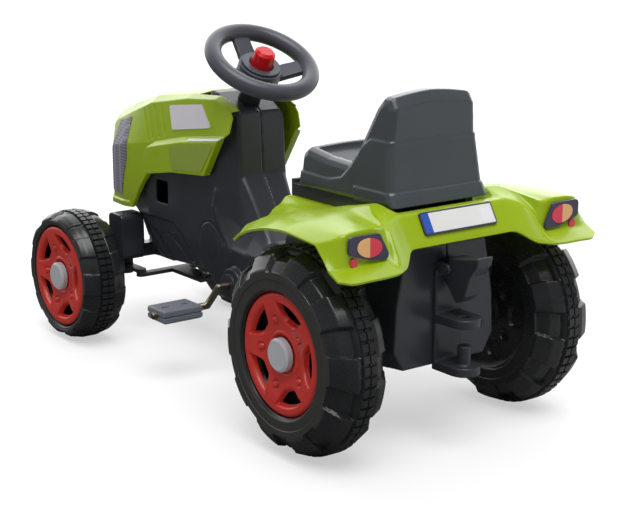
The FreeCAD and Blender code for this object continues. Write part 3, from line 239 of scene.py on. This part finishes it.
# Crank and pedals: a round steel rod, bent to a throw at each end and blackened with heat and oil. A
# grey polyethylene pedal turns on each throw, a block with a groove round its sides and two short
# slots in its top.

# Blackened steel: a brown-grey metal with a soft streak of light along the rod.
dark_steel = finish("blackened_steel_rod", "9A8E80", "857A6C", rough=0.38, grain=0.5, relief=0.02, metal=1.0)
dress(["crank"], dark_steel, edge=0.0)
# Matt moulded polyethylene: blue-grey, with hardly any highlight.
grey_pedal = finish("grey_polyethylene_pedal", "767B84", "666B74", rough=0.45, grain=0.7, relief=0.04)
slot_wide, slot_long, slot_deep = 5.0, 13.0, 4.0
groove_low, groove_high, groove_deep = 9.0, 11.0, 1.6
foot_draft, top_draft = 3.0, 1.5


def make(name, verts, faces, material, body, replaced, sharp):
    """A mesh that rides on a body and stands for a CAD node; edges past sharp degrees stay sharp."""
    mesh = bpy.data.meshes.new(name)
    mesh.from_pydata(verts, [], faces)
    outward = bmesh.new()
    outward.from_mesh(mesh)
    bmesh.ops.recalc_face_normals(outward, faces=outward.faces)
    outward.to_mesh(mesh)
    outward.free()
    mesh.shade_smooth()
    mesh.set_sharp_from_angle(angle=math.radians(sharp))
    mesh.materials.append(material)
    obj = bpy.data.objects.new(name, mesh)
    bpy.context.scene.collection.objects.link(obj)
    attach(obj, body)
    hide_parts(replaced)
    return obj


def pedal(side):
    """One pedal: loops up its sides, then a top of cells of which two are sunk as slots."""
    low, high = (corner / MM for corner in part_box(f"pedal_{side}"))
    mid = (low + high) / 2
    quarter = (high.y - low.y) / 4
    lines_x = (low.x, mid.x - slot_wide / 2, mid.x + slot_wide / 2, high.x)
    lines_y = (low.y, mid.y - quarter - slot_long / 2, mid.y - quarter + slot_long / 2,
               mid.y + quarter - slot_long / 2, mid.y + quarter + slot_long / 2, high.y)
    far_x, far_y = len(lines_x) - 1, len(lines_y) - 1
    ring = [(i, 0) for i in range(far_x)] + [(far_x, k) for k in range(far_y)]
    ring += [(i, far_y) for i in range(far_x, 0, -1)] + [(0, k) for k in range(far_y, 0, -1)]
    layers = ((low.z, foot_draft), (low.z + foot_draft, 0.0),
              (low.z + groove_low, 0.0), (low.z + groove_low, groove_deep),
              (low.z + groove_high, groove_deep), (low.z + groove_high, 0.0),
              (high.z - 2, 0.0), (high.z, top_draft))
    verts, faces = [], []

    def put(i, k, z, draft):
        x = lines_x[i] + draft * ((i == 0) - (i == far_x))
        y = lines_y[k] + draft * ((k == 0) - (k == far_y))
        verts.append((x * MM, y * MM, z * MM))
        return len(verts) - 1

    loops = [[put(i, k, z, draft) for i, k in ring] for z, draft in layers]
    for under, over in zip(loops, loops[1:]):
        for k in range(len(ring)):
            after = (k + 1) % len(ring)
            faces.append((under[k], under[after], over[after], over[k]))
    faces.append(tuple(loops[0]))
    top = dict(zip(ring, loops[-1]))
    for i in range(1, far_x):
        for k in range(1, far_y):
            top[i, k] = put(i, k, high.z, 0.0)
    for i in range(far_x):
        for k in range(far_y):
            cell = ((i, k), (i + 1, k), (i + 1, k + 1), (i, k + 1))
            if i == 1 and k in (1, 3):
                bottom = [put(*spot, high.z - slot_deep, 0.0) for spot in cell]
                faces.append(tuple(bottom))
                for n in range(4):
                    after = (n + 1) % 4
                    faces.append((top[cell[n]], top[cell[after]], bottom[after], bottom[n]))
            else:
                faces.append(tuple(top[spot] for spot in cell))
    obj = make(f"pedal_{side}_moulded", verts, faces, grey_pedal, f"{side}_pedal", f"pedal_{side}",
               sharp=30)
    edge = obj.modifiers.new("edge", "BEVEL")
    edge.width = 0.7 * MM
    edge.segments = 2


for side in ("left", "right"):
    pedal(side)

# Tow hitch: a black polyethylene bracket with two shelves and a peg for a trailer's eye, fixed to the
# rear wall of the body. A latch of the same plastic swings on a steel pin.
soften(["tow_hitch", "hitch_latch"], black_body, grid=1.2, rounds=5)
dress(["hitch_pin"], zinc, edge=0.4)

# Body screws: zinc-plated steel, driven from the right to pull the two halves together. Only their
# round heads are made, which stand on the skin.
dress(["body_screws"], zinc, edge=0.4)

# Bonnet: a lime polyethylene moulding, screwed down on the front of the body. Printed films are
# stuck on each flank: a dark mesh at the front, a white panel, an olive patch and a white streak.

# Lime polyethylene: a strong yellow-green with a semi-gloss skin that pales where it faces the light.
lime = finish("lime_polyethylene_moulded", "A0BC14", "94B00C", rough=0.25, grain=0.8, relief=0.02,
              cloud=90.0)
soften(["bonnet"], lime, grid=0.9, rounds=9)
# Film printed with a mesh of cells 5 mm apart: lilac-grey lines round darker cells. The cells are
# drawn as coarse as that so that they show in the render.
cell_size = 5.0
grille_film = finish("grille_printed_film", "858192", "6F6B7C", rough=0.4, grain=0.6, relief=0.02)
grille_tree = grille_film.node_tree
grille_place = node(grille_tree, "ShaderNodeTexCoord").outputs["Object"]
cells = node(grille_tree, "ShaderNodeTexVoronoi", {"Scale": 1 / (cell_size * MM), "Randomness": 0.0},
             {"Vector": grille_place}, feature="DISTANCE_TO_EDGE")
weave = node(grille_tree, "ShaderNodeMapRange", {"From Min": 0.05, "From Max": 0.2},
             {"Value": cells.outputs[0]})
ink = node(grille_tree, "ShaderNodeMix", {6: linear("9A97A8"), 7: linear("56535F")},
           {0: weave.outputs[0]}, data_type="RGBA")
grille_face = next(n for n in grille_tree.nodes if n.type == "BSDF_PRINCIPLED")
grille_tree.links.new(ink.outputs[2], grille_face.inputs["Base Color"])
dress(["grille_left", "grille_right"], grille_film, edge=0.4)
# White and olive film: flat printed colour under a clear satin coat.
white_film = finish("white_printed_film", "E2DEE4", "D6D2DA", rough=0.35, grain=0.6, relief=0.01)
olive_film = finish("olive_printed_film", "95AA3C", "88A032", rough=0.4, grain=0.6, relief=0.02)
for side in ("left", "right"):
    dress([f"badge_panel_{side}", f"streak_panel_{side}"], white_film, edge=0.3)
    dress([f"stripe_panel_{side}"], olive_film, edge=0.3)

# Rear deck: one lime polyethylene moulding with both fenders, the panel for the number plate and
# the lamp pods, pressed on the body. Its skin runs from front to rear at each place across, and
# all its edges are softly rounded.

# At each place across, in mm, the path of the skin: along from the rear axle, and up from the floor.
rear_axle_x = sum(corner.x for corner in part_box("rear_axle")) / 2 / MM
deck_wall, deck_rounds, deck_half, deck_count = 3.2, 22, 218, 141
deck_paths = {
    0: ((173, 269), (168, 300), (109, 300), (38, 300), (-58, 300), (-70, 315), (-83, 315), (-106, 276)),
    84: ((173, 269), (168, 300), (109, 300), (38, 300), (-58, 300), (-70, 315), (-83, 315), (-106, 276)),
    91: ((173, 269), (168, 290), (109, 295), (58, 300), (6, 315), (-42, 325), (-83, 315), (-108, 275)),
    110: ((168, 268), (159, 286), (106, 295), (55, 303), (0, 317), (-48, 325), (-92, 309), (-126, 260)),
    122: ((161, 267), (149, 283), (102, 295), (50, 305), (-8, 317), (-70, 318), (-107, 297), (-133, 259)),
    129: ((155, 266), (143, 282), (98, 296), (45, 307), (-20, 317), (-104, 312), (-112, 274), (-138, 259)),
    136: ((150, 266), (138, 281), (96, 296), (42, 308), (-25, 317), (-106, 309), (-112.6, 272), (-139, 259)),
    151: ((146, 266), (132, 281), (93, 296), (40, 308), (-25, 316), (-109, 313), (-112.6, 271), (-139, 258)),
    180: ((134, 265), (122, 279), (86, 295), (35, 306), (-25, 313), (-109, 312), (-112.6, 271), (-139, 258)),
    196: ((118, 266), (106, 278), (75, 293), (32, 303), (-22, 310), (-108, 309), (-112.6, 269), (-138, 257)),
    205: ((108, 267), (97, 277), (68, 291), (30, 301), (-19, 306), (-101, 303), (-112, 268), (-136, 257)),
    218: ((95, 270), (85, 278), (60, 289), (25, 298), (-15, 302), (-80, 296), (-108, 269), (-126, 260)),
}
deck_steps = (6, 16, 14, 16, 22, 14, 8)


def between(a, b, share):
    """The point or path between two, at that share of the way."""
    if isinstance(a, tuple):
        return tuple(between(p, q, share) for p, q in zip(a, b))
    return a + (b - a) * share


def deck_row(across):
    """The skin's path from front to rear at one place across, in short steps."""
    places = sorted(deck_paths)
    for near, far in zip(places, places[1:]):
        if near <= abs(across) <= far:
            path = between(deck_paths[near], deck_paths[far], (abs(across) - near) / (far - near))
    row = []
    for start, end, steps in zip(path, path[1:], deck_steps):
        row += [between(start, end, step / steps) for step in range(steps)]
    return [Vector((rear_axle_x + x, across, z)) for x, z in row + [path[-1]]]


def eased_rows(rows, rounds):
    """Rows of points after rounds of smoothing, which pull less toward both ends of the rows, so
    that the front wall and the lamp pods keep their edges. The corners stay where they are."""
    last_row, last_point = len(rows) - 1, len(rows[0]) - 1
    for _ in range(rounds):
        eased = [[point.copy() for point in row] for row in rows]
        for i, row in enumerate(rows):
            for k, point in enumerate(row):
                beside = []
                if 0 < i < last_row:
                    beside += [rows[i - 1][k], rows[i + 1][k]]
                if 0 < k < last_point:
                    beside += [row[k - 1], row[k + 1]]
                if beside:
                    share = k / len(row)
                    pull = 0.06 + 0.44 * ease(0.05, 0.18, share) * (1 - ease(0.58, 0.74, share))
                    eased[i][k] = point.lerp(sum(beside, Vector()) / len(beside), pull)
        rows = eased
    return rows


# The rows stand a hair closer than they might, so that the last one stays inside the last path.
deck_pitch = round(2 * deck_half / (deck_count - 1), 3)
deck_rows = eased_rows([deck_row(deck_pitch * k - deck_half) for k in range(deck_count)], deck_rounds)
along = len(deck_rows[0])
deck_faces = [(i * along + k, i * along + k + 1, (i + 1) * along + k + 1, (i + 1) * along + k)
              for i in range(deck_count - 1) for k in range(along - 1)]
deck = make("rear_deck_moulded", [tuple(point * MM) for row in deck_rows for point in row], deck_faces,
            lime, "chassis", "rear_deck", sharp=70)
deck_shell = deck.modifiers.new("wall", "SOLIDIFY")
deck_shell.thickness = deck_wall * MM
deck_shell.offset = -1.0
deck_edge = deck.modifiers.new("rim", "BEVEL")
deck_edge.width = 1.0 * MM
deck_edge.segments = 2
deck_edge.angle_limit = math.radians(50)

# Number plate: a slate ABS frame clipped to the deck, with a white film, a blue band at its left
# end and a plain pale sticker at its right end.

# Moulded ABS: blue-black and dull satin.
slate = finish("slate_abs_moulded", "44425A", "363450", rough=0.4, grain=0.6, relief=0.02)
dress(["plate_frame"], slate, edge=0.8)
# Plate films: flat clean colour with a faint sheen.
plate_film = finish("white_plate_film", "EAEAE8", "E2E2E0", rough=0.35, grain=0.6, relief=0.01)
dress(["plate_face"], plate_film, edge=0.2)
blue_film = finish("blue_printed_film", "3160C4", "2850AE", rough=0.35, grain=0.6, relief=0.01)
dress(["plate_band"], blue_film, edge=0.2)
sticker_film = finish("pale_sticker_film", "F0F0F2", "E8E8EA", rough=0.3, grain=0.6, relief=0.01)
dress(["plate_sticker"], sticker_film, edge=0.2)

# Tail lamps: on each pod a slate ABS bezel holds an oval lens, amber on its outer half and red on its
# inner half, pressed in. A small round red reflector is stuck on below it.

# Moulded acrylic: clear strong colour with a small sharp highlight.
amber = finish("amber_acrylic_moulded", "F4BE84", "E8AE70", rough=0.22, grain=0.8, relief=0.02)
lens_red = finish("red_acrylic_moulded", "E84258", "DA3248", rough=0.22, grain=0.8, relief=0.02)
for side in ("left", "right"):
    dress([f"lamp_bezel_{side}"], slate, edge=0.8)
    dress([f"amber_lens_{side}"], amber, edge=0.8)
    dress([f"red_lens_{side}", f"reflector_{side}"], lens_red, edge=0.8)

# Seat: a charcoal polyethylene shell, blow moulded and clipped on black rails, which show under
# its front. Its top bows up between the middle and each edge.
dress(["seat_rails"], black_body, edge=1.2)
# Charcoal polyethylene: slate grey, with a soft gloss that turns pale on the pan.
charcoal = finish("charcoal_polyethylene_moulded", "4A5056", "42474D", rough=0.24, grain=0.9, relief=0.03)
soften(["seat"], charcoal, grid=1.2, rounds=4)
seat_low, seat_high = (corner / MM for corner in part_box("seat"))
seat_half = (seat_high.y - seat_low.y) / 2
crown = 0.06


def seat_crown(point):
    """How far the seat's skin bows up: more with its height, most halfway to the edge."""
    share = min(1.0, abs(point.y) / seat_half)
    return 0.0, 0.0, crown * max(0.0, point.z - seat_low.z) * (share - share * share)


pressed("seat", seat_crown, charcoal, "chassis")

# Tyres: hollow black polyethylene, blow moulded with the wheel disc in one. Each has a flat ringed
# side wall, a chamfered flank with wide pockets open to the side, and a narrow raised band of two
# rows of small blocks. The disc on the inner side has a star of five leaves and five round dents.

# Smooth polyethylene: black and glossier than the body, so that its edges catch the light.
tyre_black = finish("black_polyethylene_tyre", "28292B", "1D1E20", rough=0.26, grain=1.2, relief=0.02)
# The side wall is finely knurled in the mould, and rougher, so it shows no highlights of its own.
# Its lighter, greyer black is painted sheen, standing in for the light the knurl scatters. The knurl
# is too fine to show, so its grain is drawn coarser.
tyre_wall_painted_sheen = finish("black_polyethylene_knurled_painted_sheen", "3D3B3A", "323130", rough=0.4, grain=1.2, relief=0.06)
tyre_seat, tyre_steps, tyre_mesh = 81.0, 720, 2.6
tread_pockets, blocks_per_pocket, block_deep = 10, 6, 3.0
leaves, leaf_far, leaf_half, leaf_wide, leaf_deep = 5, 58.0, 15.0, 17.0, 5.0
dent_far, dent_r, dent_deep = 48.0, 8.0, 6.0


def finer(points, most):
    """The same closed path with no step longer than most."""
    path = []
    for k, point in enumerate(points):
        after = points[(k + 1) % len(points)]
        count = max(1, math.ceil(math.dist(point, after) / most))
        path += [between(point, after, step / count) for step in range(count)]
    return path


def turned(profile, count, centre, flip, shape):
    """Points (across, radius) in mm turned about a wheel's axis; shape bends each at its angle."""
    verts, faces = [], []
    size = len(profile)
    for step in range(count):
        angle = math.tau * step / count
        for across, radius in profile:
            out, far = shape(across, radius, angle)
            verts.append((centre.x + far * math.cos(angle) * MM, centre.y + flip * out * MM,
                          centre.z + far * math.sin(angle) * MM))
    for step in range(count):
        here = step * size
        there = (step + 1) % count * size
        for k in range(size):
            after = (k + 1) % size
            faces.append((here + k, here + after, there + after, there + k))
    return verts, faces


def tyre(end, side, body):
    """One tyre: the profile across its width, then tread blocks, pockets and the inner star."""
    flip = 1 if side == "left" else -1
    low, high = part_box(f"{end}_tyre_{side}")
    centre = (low + high) / 2
    big = (high.z - low.z) / 2 / MM
    half = (high.y - low.y) / 2 / MM
    deep = big - tyre_seat
    edge = tyre_seat + 0.5 * deep
    ring = tyre_seat + 0.3 * deep
    outer = [(half - 6, tyre_seat), (half - 2.5, tyre_seat + 2.5), (half - 1.2, tyre_seat + 4),
             (half - 1.2, ring - 0.8), (half - 0.2, ring),
             (half, edge - 1), (half - 0.7, edge + 1.2), (half - 2.4, edge + 3.0),
             (0.70 * half, big - 0.16 * deep), (0.38 * half, big - 0.055 * deep),
             (10.6, big - 3.6), (10.0, big - 0.4), (9.6, big), (1.3, big), (0.8, big - 1.8)]
    back = [(-out, far) for out, far in reversed(outer)]
    disc = [(9 - half, tyre_seat - 3), (11 - half, tyre_seat - 6), (9 - half, 27), (4 - half, 25),
            (4 - half, 9), (half - 26, 9), (half - 26, tyre_seat - 4), (half - 20, tyre_seat)]
    profile = finer(outer + back + disc, tyre_mesh)

    def shape(out, far, angle):
        if far < edge - 1:
            if 7 - half < out < 12 - half and far > 28:
                spot = angle % (math.tau / leaves) - math.tau / leaves / 2
                leaf = math.hypot((far - leaf_far) / leaf_half, spot * far / leaf_wide)
                dent = math.hypot(far - dent_far, (math.tau / leaves / 2 - abs(spot)) * far)
                out += leaf_deep * (1 - ease(0.8, 0.95, leaf))
                out += dent_deep * (1 - ease(dent_r, dent_r + 1.5, dent))
            return out, far
        reach = abs(out)
        lean = 0.003 * (reach - 10)
        turn = (angle / math.tau * tread_pockets + (0.5 if out < 0 else 0.0)) % 1
        pocket = (1 - ease(0.2, 0.245, abs(turn - 0.5 + lean))) * ease(11.5, 15.0, reach)
        far -= pocket * min(0.15 * deep, far - edge + 4.0)
        if reach < 10.3:
            block = (angle / math.tau * tread_pockets * blocks_per_pocket) % 1
            far -= block_deep * ease(0.36, 0.42, abs(block - 0.5))
        return out, far

    verts, faces = turned(profile, tyre_steps, centre, flip, shape)
    obj = make(f"{end}_tyre_{side}_moulded", verts, faces, tyre_black, body, f"{end}_tyre_{side}",
               sharp=35)
    obj.data.materials.append(tyre_wall_painted_sheen)
    # The faces of the knurled side wall, which take the lighter grey of painted sheen.
    wall = {k for k, (out, far) in enumerate(profile) if out > half - 2.6 and tyre_seat + 2 < far < edge}
    for face in obj.data.polygons:
        if face.index % len(profile) in wall:
            face.material_index = 1


wheels = (("rear", "left", "rear_drive"), ("rear", "right", "right_rear_wheel"),
          ("front", "left", "left_front_wheel"), ("front", "right", "right_front_wheel"))
for end, side, body in wheels:
    tyre(end, side, body)

# Rims: red polypropylene discs, injection moulded and pressed into the tyres. Five arched windows
# with bevelled walls, a dimple with a domed stud between them, and a raised ring round the hub cap.

# Injection-moulded polypropylene: a warm signal red, satin, with highlights round the windows.
rim_red = finish("red_polypropylene_rim", "D0362C", "C22C23", rough=0.32, grain=0.8, relief=0.03)
rim_bore, rim_rings, rim_steps, rim_wall = 8.0, 72, 480, 1.5
windows = 5
window_turn = math.tau / windows
lip_deep, dish_deep, ring_high, hub_deep = 1.5, 7.0, 1.4, 4.0
bevel_deep, wall_deep, open_from = 1.6, 6.0, 4.0
stud_r, stud_high, dimple_r, dimple_deep = 4.6, 5.0, 7.0, 1.8
first_window = {"left": math.radians(-144), "right": math.radians(-72)}


def rim(end, side, body):
    """One rim as a disc with its relief, open at the bottom of the windows."""
    flip = 1 if side == "left" else -1
    low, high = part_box(f"{end}_rim_{side}")
    centre = (low + high) / 2
    face_y = high.y if flip > 0 else low.y
    big = (high.z - low.z) / 2 / MM
    radii = [rim_bore + (big - rim_bore) * k / rim_rings for k in range(rim_rings + 1)]

    def relief(far, angle):
        spot = (angle - first_window[side]) % window_turn - window_turn / 2
        arch = big * (0.53 + 0.34 * (abs(spot) / math.radians(26)) ** 3.6)
        room = min(big * 0.865 - far, (far - arch) * 0.75)
        out = -1.2 * ease(big * 0.955, big * 0.975, far) - lip_deep * ease(big * 0.98, big, far)
        out -= dish_deep * (1 - ease(big * 0.36, big * 0.84, far))
        out += ring_high * (1 - ease(big * 0.365, big * 0.385, far))
        out -= hub_deep * (1 - ease(big * 0.29, big * 0.34, far))
        out -= bevel_deep * ease(-0.6, 1.4, room) + wall_deep * ease(1.8, 3.2, room)
        aside = (angle - first_window[side] + window_turn / 2) % window_turn - window_turn / 2
        gap = math.hypot(far * math.cos(aside) - big * 0.56, far * math.sin(aside))
        out -= dimple_deep * (1 - ease(dimple_r - 1.4, dimple_r, gap))
        out += stud_high * math.sqrt(max(0.0, 1 - (gap / stud_r) ** 2))
        return out, room

    verts, faces, is_open = [], [], []
    for step in range(rim_steps):
        angle = math.tau * step / rim_steps
        for far in radii:
            out, room = relief(far, angle)
            verts.append((centre.x + far * math.cos(angle) * MM, face_y + flip * out * MM,
                          centre.z + far * math.sin(angle) * MM))
            is_open.append(room > open_from)
    for step in range(rim_steps):
        here = step * len(radii)
        there = (step + 1) % rim_steps * len(radii)
        for k in range(rim_rings):
            corners = (here + k, here + k + 1, there + k + 1, there + k)
            if not all(is_open[corner] for corner in corners):
                faces.append(corners if flip > 0 else corners[::-1])
    obj = make(f"{end}_rim_{side}_moulded", verts, faces, rim_red, body, f"{end}_rim_{side}",
               sharp=60)
    obj.modifiers.new("wall", "SOLIDIFY").thickness = rim_wall * MM


for end, side, body in wheels:
    rim(end, side, body)

# Hub caps: plain round caps of grey polypropylene, injection moulded and pushed over the ends of the
# axles, where they stand in the middle of the rims.

# Injection-moulded polypropylene: a cool light grey with a soft round highlight on the edge.
cap_grey = finish("grey_polypropylene_cap", "BCBEC2", "ACAFB4", rough=0.34, grain=0.8, relief=0.02)
dress([f"{end}_hub_cap_{side}" for end, side, body in wheels], cap_grey, edge=2.6)

# Studio floor: wide white paper. It shows lighter to the camera than it lights the object, so that
# only a pale shadow is left, and toward the left it is dull in reflections, as a dark room is.
floor_reach = 40.0
floor_mesh = bpy.data.meshes.new("floor")
floor_mesh.from_pydata([(-floor_reach, -floor_reach, 0), (floor_reach, -floor_reach, 0),
                        (floor_reach, floor_reach, 0), (-floor_reach, floor_reach, 0)], [], [(0, 1, 2, 3)])
floor = bpy.data.objects.new("floor", floor_mesh)
paper = finish("white_paper_floor", "B8B8B8", "B4B4B4", rough=0.9, grain=4.0, relief=0.0, cloud=400.0)
paper_tree = paper.node_tree
paper_face = next(n for n in paper_tree.nodes if n.type == "BSDF_PRINCIPLED")
paper_face.inputs["Emission Color"].default_value = linear("FFFFFF")
paper_face.inputs["Specular IOR Level"].default_value = 0.0
ray = node(paper_tree, "ShaderNodeLightPath")
lift = node(paper_tree, "ShaderNodeMath", {1: 0.52}, {0: ray.outputs["Is Camera Ray"]}, operation="MULTIPLY")
paper_tree.links.new(lift.outputs[0], paper_face.inputs["Emission Strength"])
paper_place = node(paper_tree, "ShaderNodeTexCoord").outputs["Object"]
paper_spot = node(paper_tree, "ShaderNodeSeparateXYZ", {}, {0: paper_place})
leftward = node(paper_tree, "ShaderNodeMapRange", {"From Min": -0.6, "From Max": 0.3},
                {"Value": paper_spot.outputs["Y"]})
shade = node(paper_tree, "ShaderNodeMath", {}, {0: leftward.outputs[0], 1: ray.outputs["Is Glossy Ray"]},
             operation="MULTIPLY")
paper_tone = paper_face.inputs["Base Color"].links[0].from_socket
dull = node(paper_tree, "ShaderNodeMix", {7: linear("484848")}, {0: shade.outputs[0], 6: paper_tone},
            data_type="RGBA")
paper_tree.links.new(dull.outputs[2], paper_face.inputs["Base Color"])
floor_mesh.materials.append(paper)
bpy.context.scene.collection.objects.link(floor)

# Studio light: a bright backdrop beyond the object, a dim room behind the camera, and one broad
# lamp overhead, a little behind the object. The camera itself sees plain white.
backdrop_way = (0.77, -0.58, 0.25)
world = bpy.data.worlds.new("studio")
bpy.context.scene.world = world
world.use_nodes = True
room_tree = world.node_tree
room_tree.nodes.clear()
look = node(room_tree, "ShaderNodeTexCoord").outputs["Generated"]
toward = node(room_tree, "ShaderNodeVectorMath", {1: backdrop_way}, {0: look}, operation="DOT_PRODUCT")
glow = node(room_tree, "ShaderNodeMapRange",
            {"From Min": 0.25, "From Max": 0.95, "To Min": 0.26, "To Max": 2.2},
            {"Value": toward.outputs["Value"]}, interpolation_type="SMOOTHSTEP")
eye = node(room_tree, "ShaderNodeLightPath").outputs["Is Camera Ray"]
level = node(room_tree, "ShaderNodeMix", {3: 1.0}, {0: eye, 2: glow.outputs[0]})
sky = node(room_tree, "ShaderNodeBackground", {"Color": linear("FFFFFF")}, {"Strength": level.outputs[0]})
node(room_tree, "ShaderNodeOutputWorld", {}, {"Surface": sky.outputs[0]})

lamp_way = Vector((0.36, -0.16, -1.0))
lamp_data = bpy.data.lights.new("overhead", "SUN")
lamp_data.energy = 2.3
lamp_data.angle = math.radians(45)
lamp = bpy.data.objects.new("overhead", lamp_data)
lamp.rotation_euler = lamp_way.to_track_quat("-Z", "Y").to_euler()
bpy.context.scene.collection.objects.link(lamp)

# Camera: behind the object and to its left, a little above the seat, as the photograph was taken.
camera_way = Vector((0.77744, -0.58237, -0.23756))
camera_data = bpy.data.cameras.new("camera")
camera_data.lens = 84.06
camera_data.sensor_width = 36.0
camera_data.sensor_fit = "HORIZONTAL"
camera = bpy.data.objects.new("camera", camera_data)
camera.location = (-1.7528, 1.2427, 0.7028)
camera.rotation_euler = camera_way.to_track_quat("-Z", "Y").to_euler()
bpy.context.scene.collection.objects.link(camera)
bpy.context.scene.camera = camera
bpy.context.scene.view_settings.view_transform = "Standard"
